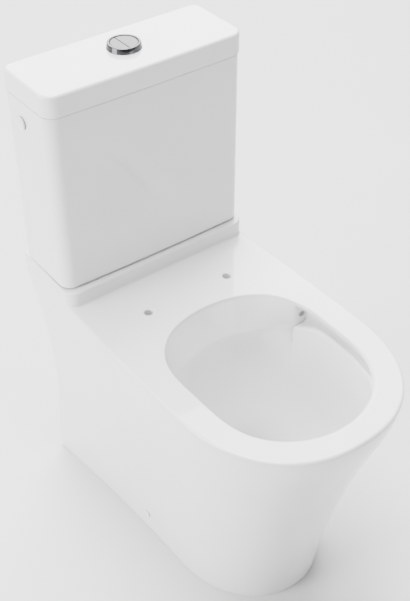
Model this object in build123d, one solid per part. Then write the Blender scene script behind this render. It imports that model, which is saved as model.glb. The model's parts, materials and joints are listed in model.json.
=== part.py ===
from build123d import *
import os

# Close coupled toilet: a floor standing rimless pan with a skirted, open backed
# base, a cistern bolted to its rear platform, and the dual flush gear inside.
# Millimetres. +Z up, +X to the right, the bowl points along -Y.
# Everything is drawn with the wall at y = 0 and the floor at z = 0, and moved
# at the end so that the origin is under the middle of the whole object.

# ---- driving dimensions: the pan ------------------------------------------
PAN_LENGTH = 656.0
DECK_HEIGHT = 463.0
DECK_HALF_WIDTH = 184.0
PLATFORM_TOP = 491.0
PLATFORM_FRONT = 151.5
PLATFORM_HALF_WIDTH = 180.0
PLATFORM_CORNER = 20.0
CHINA = 11.0            # wall of the hollow pan
DECK_THICKNESS = 14.0
DECK_EDGE_RADIUS = 4.0
PAST_WALL = 20.0        # how far cuts open to the wall run past it
BASE_LENGTH = 533.5    # floor line, wall to toe
ROUND_CENTRE_FLOOR = 379.0
ROUND_CENTRE_DECK = 439.5

# height, reach from the wall, half width at the round, half width at the wall
SKIRT = (
    (0.0, BASE_LENGTH, 128.0, 150.0),
    (60.0, 540.5, 133.0, 148.5),
    (130.0, 555.5, 139.0, 144.0),
    (208.0, 574.0, 147.5, 142.5),
    (288.0, 598.5, 158.0, 149.5),
    (357.0, 623.0, 168.5, 158.0),
    (417.0, 645.5, 178.0, 169.0),
    (447.0, 653.5, 182.7, 173.5),
    (DECK_HEIGHT, PAN_LENGTH, DECK_HALF_WIDTH, 175.0),
)

OPENING_CENTRE = 433.0
# distance of the mouth's edge from its centre, as a sum of cosines of the turn from the front
OPENING_WAVES = (155.4, 6.5, 16.3, 3.0, -4.3, 0.15, 0.25)
CHAMBER_END = 354.0     # where the water chamber round the rear stops
CHAMBER_DEPTH = 62.0
CHAMBER_WALL = 8.0
CHANNEL_TOP = 9.0       # below the deck
CHANNEL_BOTTOM = 46.0
CHANNEL_HALF_WIDTH = 154.5
CHANNEL_CENTRE = 390.0
CHANNEL_FRONT = 592.0
CHANNEL_REAR = 200.0
JET_RADIUS = 6.0
JET_X = 144.5
JET_HEIGHT = DECK_HEIGHT - 34.0
DUCT_HALF_WIDTH = 36.0  # from the inlet socket to the water chamber
DUCT_END = 262.0

# depth below the deck, half width, reach of the front, reach of the rear
BOWL = (
    (CHAMBER_DEPTH, 126.0, 601.0, 301.0),
    (110.0, 115.0, 583.0, 318.0),
    (170.0, 94.0, 545.0, 332.0),
    (235.0, 62.0, 490.0, 342.0),
    (290.0, 43.0, 450.0, 348.0),
    (330.0, 30.0, 434.0, 358.0),
)

TRAP_RADIUS = 37.0
TRAP_WALL = 10.0
TRAP_ROUTE = (
    (-413.0, 152.0),
    (-322.0, 152.0),
    (-272.0, 288.0),
    (-200.0, 288.0),
    (-130.0, 185.0),
    (-24.0, 185.0),
)
TRAP_BEND = 58.0
OUTLET_HEIGHT = 185.0
OUTLET_RADIUS = 51.0
OUTLET_LENGTH = 62.0
OUTLET_END = 8.0        # from the wall
OUTLET_BORE = 41.0

SEAT_HOLE_SPACING = 160.0
SEAT_HOLE_REACH = 231.0
SEAT_HOLE_RADIUS = 7.0

SIDE_FIX_REACH = 279.0
SIDE_FIX_HEIGHT = 46.0
SIDE_FIX_HOLE = 6.0
SIDE_SCREW_HOLE = 3.6
FLOOR_HOLE_SPACING = 188.0
CAP_GAP = 1.0           # between the curved side and the flat back of a cap

# ---- driving dimensions: the cistern --------------------------------------
CISTERN_GAP = 3.0
CISTERN_BOTTOM = PLATFORM_TOP + CISTERN_GAP
CISTERN_TOP = 808.0
CISTERN_HALF_WIDTH = 179.5
CISTERN_FRONT = 139.5
CISTERN_REAR = 12.0
CISTERN_CORNER = 20.0   # front corners
REAR_CORNER = 12.0
CISTERN_WALL = 9.0
CISTERN_FLOOR = 12.0
FRONT_BOW = 2.5
TANK_FLOOR = CISTERN_BOTTOM + CISTERN_FLOOR

LID_PAD = 2.0
LID_BOTTOM = CISTERN_TOP + LID_PAD
LID_TOP = 846.0
LID_HALF_WIDTH = 181.0
LID_FRONT = 142.5
LID_REAR = 11.0
LID_WALL = 14.0
LID_THICKNESS = 11.0
LID_EDGE_RADIUS = 4.5
LID_HOLE_RADIUS = 24.5

SIDE_HOLE_RADIUS = 9.0
SIDE_HOLE_REACH = 60.0
SIDE_HOLE_HEIGHT = 770.0
PLUG_CAP_RADIUS = 11.0
PLUG_SEAL = 1.5         # thickness of the washer under the plug's cap

# ---- driving dimensions: the flush gear -----------------------------------
VALVE_REACH = 73.0      # flush valve, bolts and water inlet share this line
FLUSH_HOLE_RADIUS = 32.0
FLUSH_TAIL_RADIUS = 30.5
FLUSH_TAIL_BORE = 26.0
BACKNUT_RADIUS = 40.0
BACKNUT_HEIGHT = 14.0
SOCKET_RADIUS = 58.0
SOCKET_DEPTH = 14.0
SOCKET_BORE = 36.0
BOLT_SPACING = 152.0
BOLT_RADIUS = 4.0
BOLT_HOLE = 5.5

SEAT_TOP = 515.0        # face the flush seal closes on
CAGE_TOP = 672.0
TUBE_RADIUS = 12.0
TUBE_BORE = 10.2
TUBE_TOP = 686.0
PIVOT_HEIGHT = 705.0
PIVOT_X = 24.0
LEVER_INNER = 14.0      # pivot to push rod
LEVER_OUTER = 26.0      # pivot to lifted end
LEVER_TILT = 12.4
LEVER_WIDTH = 9.0
PIN_RADIUS = 2.0
PIN_CLEARANCE = 0.05
ROD_X = PIVOT_X - LEVER_INNER
ROD_RADIUS = 2.5
ROD_END = 711.2

BEZEL_RADIUS = 28.0
BEZEL_HEIGHT = 9.0
BUTTON_TOP = LID_TOP + BEZEL_HEIGHT - 1.0
BUTTON_RADIUS = 21.9
BUTTON_DEPTH = 9.0
BUTTON_SPLIT_X = -3.0
BUTTON_GAP = 0.6
SLEEVE_RADIUS = 23.6
SLEEVE_BORE = 22.4
SLEEVE_BOTTOM = 802.0
SLEEVE_FLOOR = 3.0
SPRING_RADIUS = 4.6
SPRING_WIRE = 0.45
SPRING_TURNS = 7

FILL_X = 117.0
INLET_THREAD_RADIUS = 10.48
INLET_NECK_RADIUS = 10.3
INLET_BORE = 6.5
FILL_TUBE_RADIUS = 13.0
FILL_HEAD_BOTTOM = 742.0
FILL_HEAD_TOP = 772.0
FLOAT_BOTTOM = 610.0
FLOAT_TOP = 676.0
FLOAT_ARM = 36.0
FLOAT_TILT = 14.3
FLOAT_PIVOT_HEIGHT = FILL_HEAD_BOTTOM + 4.0
FLOAT_PIN_RADIUS = 1.5

os.makedirs("parts", exist_ok=True)


def save(shape, name):
    export_step(Location((0, PAN_LENGTH / 2, 0)) * shape, f"parts/{name}.step")


def at(x, y, z):
    return Location((x, y, z))


def rod(radius, bottom, top, x=0.0, y=-VALVE_REACH):
    """An upright round bar between two heights."""
    return at(x, y, (bottom + top) / 2) * Cylinder(radius, top - bottom)


def pipe(radius, bore, bottom, top, x=0.0, y=-VALVE_REACH):
    return rod(radius, bottom, top, x, y) - rod(bore, bottom - 1, top + 1, x, y)


def bar_along_x(radius, x0, x1, y, z):
    return at((x0 + x1) / 2, y, z) * Rotation(0, 90, 0) * Cylinder(radius, x1 - x0)


def bar_along_y(radius, y0, y1, x, z):
    return at(x, (y0 + y1) / 2, z) * Rotation(90, 0, 0) * Cylinder(radius, y1 - y0)


def block(x0, x1, y0, y1, z0, z1):
    return at((x0 + x1) / 2, (y0 + y1) / 2, (z0 + z1) / 2) * Box(x1 - x0, y1 - y0, z1 - z0)


def both_sides(shape):
    """The shape and its mirror image across x = 0, as one group of solids."""
    return Compound(children=list(shape.solids()) + list(mirror(shape, Plane.YZ).solids()))


def power(value, exponent):
    return abs(value) ** exponent


# ---- the pan ----------------------------------------------------------------
def skirt_outline(z, reach, half, half_wall, inset=0.0, past_wall=0.0):
    """Plan of the pan's outside: open sides from the wall, then a superellipse round the front."""
    share = z / DECK_HEIGHT
    centre = ROUND_CENTRE_FLOOR + (ROUND_CENTRE_DECK - ROUND_CENTRE_FLOOR) * share
    roundness = 2.05 + 0.25 * share
    points = []
    for i in range(4):
        along = i / 4
        width = half - (half - half_wall) * (1 - along) ** 2
        points.append((width - inset, -centre * along + past_wall * (1 - along)))
    steps = 9
    for i in range(steps):
        turn = 90.0 * i / steps
        c = power(cos_deg(turn), 2 / roundness)
        s = power(sin_deg(turn), 2 / roundness)
        points.append(((half - inset) * c, -centre - (reach - inset - centre) * s))
    points.append((0, -(reach - inset)))
    left = [(-x, y) for x, y in reversed(points[:-1])]
    curve = Spline([(x, y, z) for x, y in points + left])
    back = Line(curve @ 1, curve @ 0)
    return Wire([curve, back])


def skirt_half(reach, z):
    """Half width of the pan's outside at a reach and height on its straight sides."""
    for low, high in zip(SKIRT, SKIRT[1:]):
        if low[0] <= z <= high[0]:
            share = (z - low[0]) / (high[0] - low[0])
            half = low[2] + (high[2] - low[2]) * share
            half_wall = low[3] + (high[3] - low[3]) * share
    centre = ROUND_CENTRE_FLOOR + (ROUND_CENTRE_DECK - ROUND_CENTRE_FLOOR) * z / DECK_HEIGHT
    return half - (half - half_wall) * (1 - reach / centre) ** 2


def cos_deg(angle):
    return Vector(1, 0, 0).rotate(Axis.Z, angle).X


def sin_deg(angle):
    return Vector(1, 0, 0).rotate(Axis.Z, angle).Y


def egg(z, half, front, rear, centre, front_power=2.3, rear_power=2.3):
    """A closed oval: front and rear are its reaches from the wall, a higher power squarer sides."""
    points = []
    steps = 40
    for i in range(steps):
        turn = 360.0 * i / steps
        c = cos_deg(turn)
        s = sin_deg(turn)
        ahead = s > 0
        x = half * power(c, 2 / (front_power if ahead else rear_power))
        reach = (front - centre) if ahead else (centre - rear)
        points.append((x if c > 0 else -x, -centre - reach * s, z))
    return Wire([Spline(points, periodic=True)])


def opening(z, grow=0.0):
    """Plan of the bowl's mouth, grown outwards by grow."""
    points = []
    steps = 48
    for i in range(steps):
        turn = 360.0 * i / steps
        radius = grow + sum(wave * cos_deg(k * (turn - 90)) for k, wave in enumerate(OPENING_WAVES))
        points.append((radius * cos_deg(turn), -OPENING_CENTRE - radius * sin_deg(turn), z))
    return Wire([Spline(points, periodic=True)])


def prism(wire, height):
    return extrude(Face(wire), height, dir=(0, 0, 1))


def pan_outside():
    body = Solid.make_loft([skirt_outline(*row) for row in SKIRT])
    rim = body.faces().sort_by(Axis.Z)[-1].edges().sort_by(SortBy.LENGTH)[-1]
    return body.fillet(DECK_EDGE_RADIUS, [rim])


def pan_hollow():
    """Inside of the skirt, open at the floor and at the wall."""
    rows = [skirt_outline(*row, CHINA, PAST_WALL) for row in SKIRT[:-2]]
    rows[0] = rows[0].moved(at(0, 0, -1))
    top = skirt_outline(*SKIRT[-1], CHINA + 2, PAST_WALL)
    rows.append(top.moved(at(0, 0, -DECK_THICKNESS)))
    return Solid.make_loft(rows)


def platform_outside():
    front = -PLATFORM_FRONT
    rear_half = PLATFORM_HALF_WIDTH - 5
    outline = Polyline(
        (-rear_half, 0),
        (-PLATFORM_HALF_WIDTH, front),
        (PLATFORM_HALF_WIDTH, front),
        (rear_half, 0),
        close=True,
    )
    shape = extrude(at(0, 0, DECK_HEIGHT - 30) * make_face(outline), PLATFORM_TOP - DECK_HEIGHT + 30)
    corners = shape.edges().filter_by(Axis.Z).sort_by(Axis.Y)[:2]
    shape = fillet(corners, PLATFORM_CORNER)
    return fillet(shape.faces().sort_by(Axis.Z)[-1].edges().sort_by(Axis.Y)[:-1], 2.5)


def platform_hollow():
    """Room under the platform's top plate, open towards the wall."""
    wall = CHINA + 3
    half = PLATFORM_HALF_WIDTH - wall
    under = PLATFORM_TOP - DECK_THICKNESS
    low = DECK_HEIGHT - DECK_THICKNESS - 2
    return block(-half, half, -PLATFORM_FRONT + wall, PAST_WALL, low, under)


def bowl_rows(grow, drop):
    rows = []
    for depth, half, front, rear in BOWL:
        middle = OPENING_CENTRE if depth == CHAMBER_DEPTH else (front + rear) / 2
        rows.append(egg(DECK_HEIGHT - depth - drop, half + grow, front + grow, rear - grow, middle))
    return rows


def bowl_outside():
    upper = prism(opening(DECK_HEIGHT - CHAMBER_DEPTH - 14, 32.0), CHAMBER_DEPTH + 8)
    lower = Solid.make_loft(bowl_rows(CHINA, CHINA))
    return upper + lower


def bowl_inside():
    rows = bowl_rows(0.0, 0.0)
    mouth = Solid.make_loft([opening(DECK_HEIGHT + 1), rows[0]])
    return mouth + Solid.make_loft(rows)


def rim_channels():
    """Recess under the mouth's edge, along both sides, that carries the flush water forwards."""
    groove = egg(
        DECK_HEIGHT - CHANNEL_BOTTOM,
        CHANNEL_HALF_WIDTH,
        CHANNEL_FRONT,
        CHANNEL_REAR,
        CHANNEL_CENTRE,
        2.5,
        2.5,
    )
    shape = prism(groove, CHANNEL_BOTTOM - CHANNEL_TOP)
    return shape & block(-200, 200, -700, -CHAMBER_END, 300, 500)


def water_chamber():
    """The hollow round the rear of the bowl, fed from the cistern and emptied by two jets."""
    low = DECK_HEIGHT - CHAMBER_DEPTH + 8
    high = DECK_HEIGHT - DECK_THICKNESS
    ring = prism(opening(low, 24.0), high - low) - prism(opening(low - 1, 5.0), high - low + 2)
    rear = block(-200, 200, -CHAMBER_END + CHAMBER_WALL, -200, 300, 500)
    feed = block(-DUCT_HALF_WIDTH + 10, DUCT_HALF_WIDTH - 10, -DUCT_END, -VALVE_REACH, low, high)
    return (ring & rear) + feed


def jets():
    """The two round outlets in the chamber's end walls."""
    y = -CHAMBER_END
    return both_sides(bar_along_y(JET_RADIUS, y - 6, y + CHAMBER_WALL + 6, JET_X, JET_HEIGHT))


def trap(radius):
    route = FilletPolyline(*[(0, y, z) for y, z in TRAP_ROUTE], radius=TRAP_BEND)
    profile = Plane(origin=route @ 0, z_dir=route % 0) * Circle(radius)
    return sweep(profile, path=route)


def inlet_boss():
    """Socket under the platform that takes the flush water, and its duct to the chamber."""
    low = DECK_HEIGHT - CHAMBER_DEPTH
    boss = rod(SOCKET_RADIUS + 6, low, PLATFORM_TOP - 5)
    duct = block(-DUCT_HALF_WIDTH, DUCT_HALF_WIDTH, -DUCT_END, -VALVE_REACH, low, DECK_HEIGHT - 5)
    return boss + duct


PAN_OUTSIDE = pan_outside()
PAN_SHELL = PAN_OUTSIDE + platform_outside() - pan_hollow() - platform_hollow()


def seat_holes():
    low = DECK_HEIGHT - 40
    return both_sides(rod(SEAT_HOLE_RADIUS, low, DECK_HEIGHT + 5, SEAT_HOLE_SPACING / 2, -SEAT_HOLE_REACH))


def make_pan():
    """The skirt with the deck and the platform, cast as one."""
    shape = PAN_SHELL - bowl_inside() - rim_channels()
    shape -= rod(SOCKET_RADIUS, PLATFORM_TOP - SOCKET_DEPTH, PLATFORM_TOP + 5)
    shape -= rod(SOCKET_BORE, DECK_HEIGHT - CHAMBER_DEPTH + 8, PLATFORM_TOP)
    low = PLATFORM_TOP - 30
    bolt = rod(BOLT_HOLE, low, PLATFORM_TOP + 5, BOLT_SPACING / 2)
    access = block(92, 150, -VALVE_REACH - 34, -VALVE_REACH + 34, low, PLATFORM_TOP + 5)
    outer = skirt_half(SIDE_FIX_REACH, SIDE_FIX_HEIGHT)
    fixing = bar_along_x(SIDE_FIX_HOLE, outer - 7, outer + 20, -SIDE_FIX_REACH, SIDE_FIX_HEIGHT)
    fixing += bar_along_x(SIDE_SCREW_HOLE, 100, outer, -SIDE_FIX_REACH, SIDE_FIX_HEIGHT)
    return shape - both_sides(bolt) - both_sides(access) - seat_holes() - both_sides(fixing)


def make_pan_bowl():
    """The bowl with its water chamber, trapway, outlet and inlet socket, stuck under the deck."""
    shape = (bowl_outside() & PAN_OUTSIDE) + inlet_boss() + trap(TRAP_RADIUS + TRAP_WALL)
    shape += bar_along_y(OUTLET_RADIUS, -OUTLET_END - OUTLET_LENGTH, -OUTLET_END, 0, OUTLET_HEIGHT)
    shape -= PAN_SHELL
    shape -= water_chamber()
    shape -= bowl_inside()
    shape -= rim_channels()
    shape -= jets()
    shape -= trap(TRAP_RADIUS)
    shape -= bar_along_y(OUTLET_BORE, -OUTLET_END - 40, 10, 0, OUTLET_HEIGHT)
    shape -= rod(SOCKET_RADIUS, PLATFORM_TOP - SOCKET_DEPTH, PLATFORM_TOP + 5)
    shape -= rod(SOCKET_BORE, DECK_HEIGHT - CHAMBER_DEPTH + 8, PLATFORM_TOP)
    return shape - seat_holes()


# ---- the cistern ------------------------------------------------------------
def bowed_plan(half, front, rear, corner, bow, inset=0.0):
    """A rectangle against the wall whose front bows out and whose corners are round."""
    half -= inset
    front = -(front - inset)
    rear = -(rear + inset)
    sides = Polyline((half, front), (half, rear), (-half, rear), (-half, front))
    face = make_face(sides + ThreePointArc((half, front), (0, front - bow), (-half, front)))
    face = fillet(face.vertices().sort_by(Axis.Y)[:2], max(corner - inset, 3.0))
    return fillet(face.vertices().sort_by(Axis.Y)[-2:], max(REAR_CORNER - inset, 3.0))


def cistern_solid(inset, bottom, top):
    plan = bowed_plan(CISTERN_HALF_WIDTH, CISTERN_FRONT, CISTERN_REAR, CISTERN_CORNER, FRONT_BOW, inset)
    return extrude(at(0, 0, bottom) * plan, top - bottom)


def make_cistern():
    shape = cistern_solid(0.0, CISTERN_BOTTOM, CISTERN_TOP)
    shape = fillet(shape.faces().sort_by(Axis.Z)[0].edges(), 3.0)
    shape -= cistern_solid(CISTERN_WALL, TANK_FLOOR, CISTERN_TOP + 1)
    shape -= rod(FLUSH_HOLE_RADIUS, CISTERN_BOTTOM - 1, TANK_FLOOR + 1)
    shape -= both_sides(rod(BOLT_HOLE, CISTERN_BOTTOM - 1, TANK_FLOOR + 1, BOLT_SPACING / 2))
    shape -= rod(INLET_THREAD_RADIUS + 0.8, CISTERN_BOTTOM - 1, TANK_FLOOR + 1, FILL_X)
    wall = CISTERN_HALF_WIDTH
    side = bar_along_x(SIDE_HOLE_RADIUS, wall - 20, wall + 5, -SIDE_HOLE_REACH, SIDE_HOLE_HEIGHT)
    return shape - both_sides(side)


def make_lid():
    plan = bowed_plan(LID_HALF_WIDTH, LID_FRONT, LID_REAR, CISTERN_CORNER + 4, FRONT_BOW)
    shape = extrude(at(0, 0, LID_BOTTOM) * plan, LID_TOP - LID_BOTTOM)
    shape = fillet(shape.faces().sort_by(Axis.Z)[-1].edges(), LID_EDGE_RADIUS)
    under = bowed_plan(LID_HALF_WIDTH, LID_FRONT, LID_REAR, CISTERN_CORNER + 4, FRONT_BOW, LID_WALL)
    shape -= extrude(at(0, 0, LID_BOTTOM - 1) * under, LID_TOP - LID_THICKNESS - LID_BOTTOM + 1)
    return shape - rod(LID_HOLE_RADIUS, LID_BOTTOM, LID_TOP + 1)


def make_lid_pads():
    """Four soft bumpers under the lid's rim, on top of the cistern's walls."""
    pads = []
    for x in (-120, 120):
        for y in (-CISTERN_REAR - 4.5, -CISTERN_FRONT + 3.0):
            pads.append(at(x, y, CISTERN_TOP + LID_PAD / 2) * Cylinder(3.0, LID_PAD))
    return Compound(children=pads)


def make_cistern_pads():
    """Two foam cushions between the platform and the cistern's floor."""
    pad = block(96, 164, -CISTERN_FRONT + 12, -CISTERN_FRONT + 26, PLATFORM_TOP, CISTERN_BOTTOM)
    return both_sides(pad)


def make_side_plugs():
    """Blanking plugs in the two side holes: a flat cap outside, a threaded stem inside."""
    wall = CISTERN_HALF_WIDTH
    y = -SIDE_HOLE_REACH
    cap = bar_along_x(PLUG_CAP_RADIUS, wall + PLUG_SEAL, wall + PLUG_SEAL + 2.6, y, SIDE_HOLE_HEIGHT)
    cap = fillet(cap.faces().sort_by(Axis.X)[-1].edges(), 1.2)
    stem = bar_along_x(SIDE_HOLE_RADIUS - 0.6, wall - 24, wall + PLUG_SEAL, y, SIDE_HOLE_HEIGHT)
    hollow = bar_along_x(SIDE_HOLE_RADIUS - 3.0, wall - 25, wall - 2, y, SIDE_HOLE_HEIGHT)
    return both_sides(cap + stem - hollow)


def make_side_plug_seals():
    wall = CISTERN_HALF_WIDTH
    radius = PLUG_CAP_RADIUS - 0.5
    seal = bar_along_x(radius, wall, wall + PLUG_SEAL, -SIDE_HOLE_REACH, SIDE_HOLE_HEIGHT)
    seal -= bar_along_x(SIDE_HOLE_RADIUS - 0.6, wall - 1, wall + 2, -SIDE_HOLE_REACH, SIDE_HOLE_HEIGHT)
    return both_sides(seal)


def hex_nut(across_flats, height, bore):
    """A six sided nut standing on z = 0."""
    nut = extrude(RegularPolygon(across_flats / 2, 6, major_radius=False), height)
    return nut - at(0, 0, height / 2) * Cylinder(bore, height + 2)


def make_side_plug_nuts():
    inner = CISTERN_HALF_WIDTH - CISTERN_WALL
    nut = hex_nut(26.0, 7.0, SIDE_HOLE_RADIUS - 0.6)
    turned = Location((inner, -SIDE_HOLE_REACH, SIDE_HOLE_HEIGHT), (0, -90, 0)) * nut
    return both_sides(turned)


# ---- what joins the cistern to the pan --------------------------------------
def make_coupling_gasket():
    """The foam rubber ring squeezed between the cistern and the pan's socket."""
    ring = pipe(SOCKET_RADIUS - 0.4, BACKNUT_RADIUS + 2.5, PLATFORM_TOP - SOCKET_DEPTH, CISTERN_BOTTOM)
    return fillet(ring.faces().sort_by(Axis.Z)[-1].edges(), 1.2)


def make_coupling_bolts():
    """Cheese headed bolts, heads inside the cistern, shanks down through the platform."""
    head_bottom = TANK_FLOOR + 6.0
    x = BOLT_SPACING / 2
    bolt = rod(BOLT_RADIUS, PLATFORM_TOP - 46, head_bottom, x)
    head = rod(9.0, head_bottom, head_bottom + 5, x)
    slot = block(x - 10, x + 10, -VALVE_REACH - 1, -VALVE_REACH + 1, head_bottom + 3, head_bottom + 6)
    return both_sides(bolt + head - slot)


def make_bolt_seals():
    """Tapered rubber washers under the bolt heads."""
    cone = at(BOLT_SPACING / 2, -VALVE_REACH, TANK_FLOOR + 3) * Cone(13.0, 10.0, 6.0)
    return both_sides(cone - rod(BOLT_RADIUS, TANK_FLOOR - 1, TANK_FLOOR + 7, BOLT_SPACING / 2))


def make_bolt_washers():
    under = PLATFORM_TOP - DECK_THICKNESS
    washer = pipe(10.0, BOLT_RADIUS + 0.3, under - 1.6, under, BOLT_SPACING / 2)
    return both_sides(washer)


def make_wing_nuts():
    top = PLATFORM_TOP - DECK_THICKNESS - 1.6
    x = BOLT_SPACING / 2
    hub = rod(7.0, top - 9, top, x)
    wings = block(x - 1.6, x + 1.6, -VALVE_REACH - 17, -VALVE_REACH + 17, top - 16, top - 2)
    wings = fillet(wings.edges().filter_by(Axis.X), 5.0)
    nut = hub + wings - rod(9.0, top - 20, top - 9, x) - rod(BOLT_RADIUS, top - 20, top + 1, x)
    return both_sides(nut)


# ---- flush valve ------------------------------------------------------------
def make_valve_base():
    """Outlet body: threaded tail through the cistern's floor, flange, and the seat ring."""
    flange_bottom = TANK_FLOOR + 3.0
    tail = pipe(FLUSH_TAIL_RADIUS, FLUSH_TAIL_BORE, CISTERN_BOTTOM - 30, flange_bottom)
    flange = pipe(40.0, FLUSH_TAIL_BORE, flange_bottom, flange_bottom + 3)
    ring = pipe(29.0, FLUSH_TAIL_BORE, flange_bottom + 3, SEAT_TOP)
    return tail + flange + ring


def make_valve_gasket():
    return pipe(39.0, FLUSH_TAIL_RADIUS + 0.2, TANK_FLOOR, TANK_FLOOR + 3.0)


def make_valve_backnut():
    top = CISTERN_BOTTOM
    nut = pipe(BACKNUT_RADIUS, FLUSH_TAIL_RADIUS, top - BACKNUT_HEIGHT, top)
    for i in range(12):
        x = (BACKNUT_RADIUS + 0.6) * cos_deg(30 * i)
        y = (BACKNUT_RADIUS + 0.6) * sin_deg(30 * i)
        nut -= rod(2.2, top - BACKNUT_HEIGHT - 1, top + 1, x, y - VALVE_REACH)
    return nut


def make_valve_cage():
    """Tower that guides the overflow tube and carries the two levers."""
    flange_top = TANK_FLOOR + 6.0
    foot = pipe(39.0, 31.5, flange_top, flange_top + 4)
    legs = block(32, 38, -VALVE_REACH - 5, -VALVE_REACH + 5, flange_top, 590)
    legs = legs + mirror(legs, Plane.YZ)
    turned = Location((0, -VALVE_REACH, 0)) * Rotation(0, 0, 90) * Location((0, VALVE_REACH, 0)) * legs
    shoulder = pipe(39.0, TUBE_RADIUS + 0.6, 584, 590)
    guide = pipe(TUBE_RADIUS + 4, TUBE_RADIUS + 0.6, 590, CAGE_TOP)
    return foot + legs + turned + shoulder + guide + lever_frame() + float_rail()


def lever_frame():
    """Two cheeks, front and back, that rise past the tube and hold the lever pins."""
    parts = None
    low = CAGE_TOP - 24
    for side in (-1, 1):
        inner = -VALVE_REACH + side * (LEVER_WIDTH / 2 + 11.0)
        outer = inner + side * 3.0
        y0, y1 = sorted((inner, outer))
        cheek = block(-30, 30, y0, y1, low, PIVOT_HEIGHT + 7)
        cheek = fillet(cheek.edges().filter_by(Axis.Y), 4.0)
        tie = block(-8, 8, *sorted((inner - side * 2.5, outer)), low, low + 12)
        for x in (-PIVOT_X, PIVOT_X):
            cheek -= bar_along_y(PIN_RADIUS, y0 - 1, y1 + 1, x, PIVOT_HEIGHT)
        piece = cheek + tie
        parts = piece if parts is None else parts + piece
    return parts


def float_rail():
    """Upright rail on the left that the half flush float slides on."""
    rail = block(-43.5, -39.5, -VALVE_REACH - 4, -VALVE_REACH + 4, 560, 664)
    arm_low = block(-43.5, -36, -VALVE_REACH - 4, -VALVE_REACH + 4, 560, 566)
    arm_high = block(-43.5, -14, -VALVE_REACH - 4, -VALVE_REACH + 4, 660, 664)
    return rail + arm_low + arm_high


def make_overflow_tube():
    """Moving tube; its side arm rests over the full flush lever."""
    tube = pipe(TUBE_RADIUS, TUBE_BORE, SEAT_TOP + 4, TUBE_TOP)
    hub = pipe(20.0, TUBE_BORE, SEAT_TOP + 4, SEAT_TOP + 7)
    lifted = lever_outer_top() + 1.4
    arm = block(TUBE_BORE + 0.6, 54, -VALVE_REACH - 3.5, -VALVE_REACH + 3.5, TUBE_TOP - 12, TUBE_TOP - 8)
    post = block(51, 54, -VALVE_REACH - 3.5, -VALVE_REACH + 3.5, TUBE_TOP - 12, lifted + 3)
    lip = block(45, 54, -VALVE_REACH - 3.5, -VALVE_REACH + 3.5, lifted, lifted + 3)
    return tube + hub + arm + post + lip


def make_flush_seal():
    return pipe(27.5, 8.0, SEAT_TOP, SEAT_TOP + 3.0)


def make_seal_retainer():
    """Ring that clamps the seal under the tube's hub."""
    return pipe(18.0, TUBE_BORE, SEAT_TOP + 3.0, SEAT_TOP + 4.0)


def lever_outer_top():
    """Height of the top of a lever's outer end at rest."""
    return PIVOT_HEIGHT - LEVER_OUTER * sin_deg(LEVER_TILT) + 2.0


def make_lever():
    """The full flush lever at rest: its inner end up under the push rod, its outer end down."""
    y0 = -VALVE_REACH - LEVER_WIDTH / 2
    y1 = -VALVE_REACH + LEVER_WIDTH / 2
    arm = block(-LEVER_INNER - 3.5, LEVER_OUTER, y0, y1, -2, 2)
    boss = bar_along_y(5.0, y0 - 10.5, y1 + 10.5, 0, 0)
    pin = bar_along_y(PIN_RADIUS + PIN_CLEARANCE, y0 - 20, y1 + 20, 0, 0)
    shape = arm + boss - pin
    return at(PIVOT_X, 0, PIVOT_HEIGHT) * Rotation(0, LEVER_TILT, 0) * shape


def make_lever_pins():
    reach = LEVER_WIDTH / 2 + 14.0
    pin = bar_along_y(PIN_RADIUS, -VALVE_REACH - reach, -VALVE_REACH + reach, PIVOT_X, PIVOT_HEIGHT)
    return both_sides(pin)


def make_half_float():
    """Float of the half flush, with a stem up over its lever."""
    x0, x1 = -62, -44.1
    body = block(x0, x1, -VALVE_REACH - 14, -VALVE_REACH + 14, 580, 636)
    body = fillet(body.edges().filter_by(Axis.Z), 3.0)
    lifted = lever_outer_top() + 1.4
    stem = block(-56, -53, -VALVE_REACH - 3.5, -VALVE_REACH + 3.5, 636, lifted + 3)
    lip = block(-56, -45, -VALVE_REACH - 3.5, -VALVE_REACH + 3.5, lifted, lifted + 3)
    return body + stem + lip


# ---- buttons ----------------------------------------------------------------
def make_bezel():
    """Chromed ring on the lid with its sleeve going down through the hole."""
    crown = Cone(BEZEL_RADIUS, SLEEVE_BORE + 2.6, BEZEL_HEIGHT)
    ring = at(0, -VALVE_REACH, LID_TOP + BEZEL_HEIGHT / 2) * crown
    ring = fillet(ring.faces().sort_by(Axis.Z)[-1].edges(), 1.2)
    body = ring + rod(SLEEVE_RADIUS, SLEEVE_BOTTOM, LID_TOP)
    body -= rod(SLEEVE_BORE, SLEEVE_BOTTOM + SLEEVE_FLOOR, LID_TOP + BEZEL_HEIGHT + 1)
    for x in (-ROD_X, ROD_X):
        body -= rod(ROD_RADIUS + 0.4, SLEEVE_BOTTOM - 1, SLEEVE_BOTTOM + SLEEVE_FLOOR + 1, x)
    return body


def make_button_nut():
    top = LID_TOP - LID_THICKNESS
    return pipe(SLEEVE_RADIUS + 7, SLEEVE_RADIUS, top - 9, top)


def make_button(side):
    """One part of the round button: side is +1 for the right part, -1 for the left."""
    disc = rod(BUTTON_RADIUS, BUTTON_TOP - BUTTON_DEPTH, BUTTON_TOP)
    disc = fillet(disc.faces().sort_by(Axis.Z)[-1].edges(), 0.8)
    edge = BUTTON_SPLIT_X + side * BUTTON_GAP / 2
    keep = block(*sorted((edge, side * 40)), -VALVE_REACH - 40, -VALVE_REACH + 40, 780, 900)
    return disc & keep


def make_push_rod(x):
    return rod(ROD_RADIUS, ROD_END, BUTTON_TOP - BUTTON_DEPTH, x)


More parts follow.
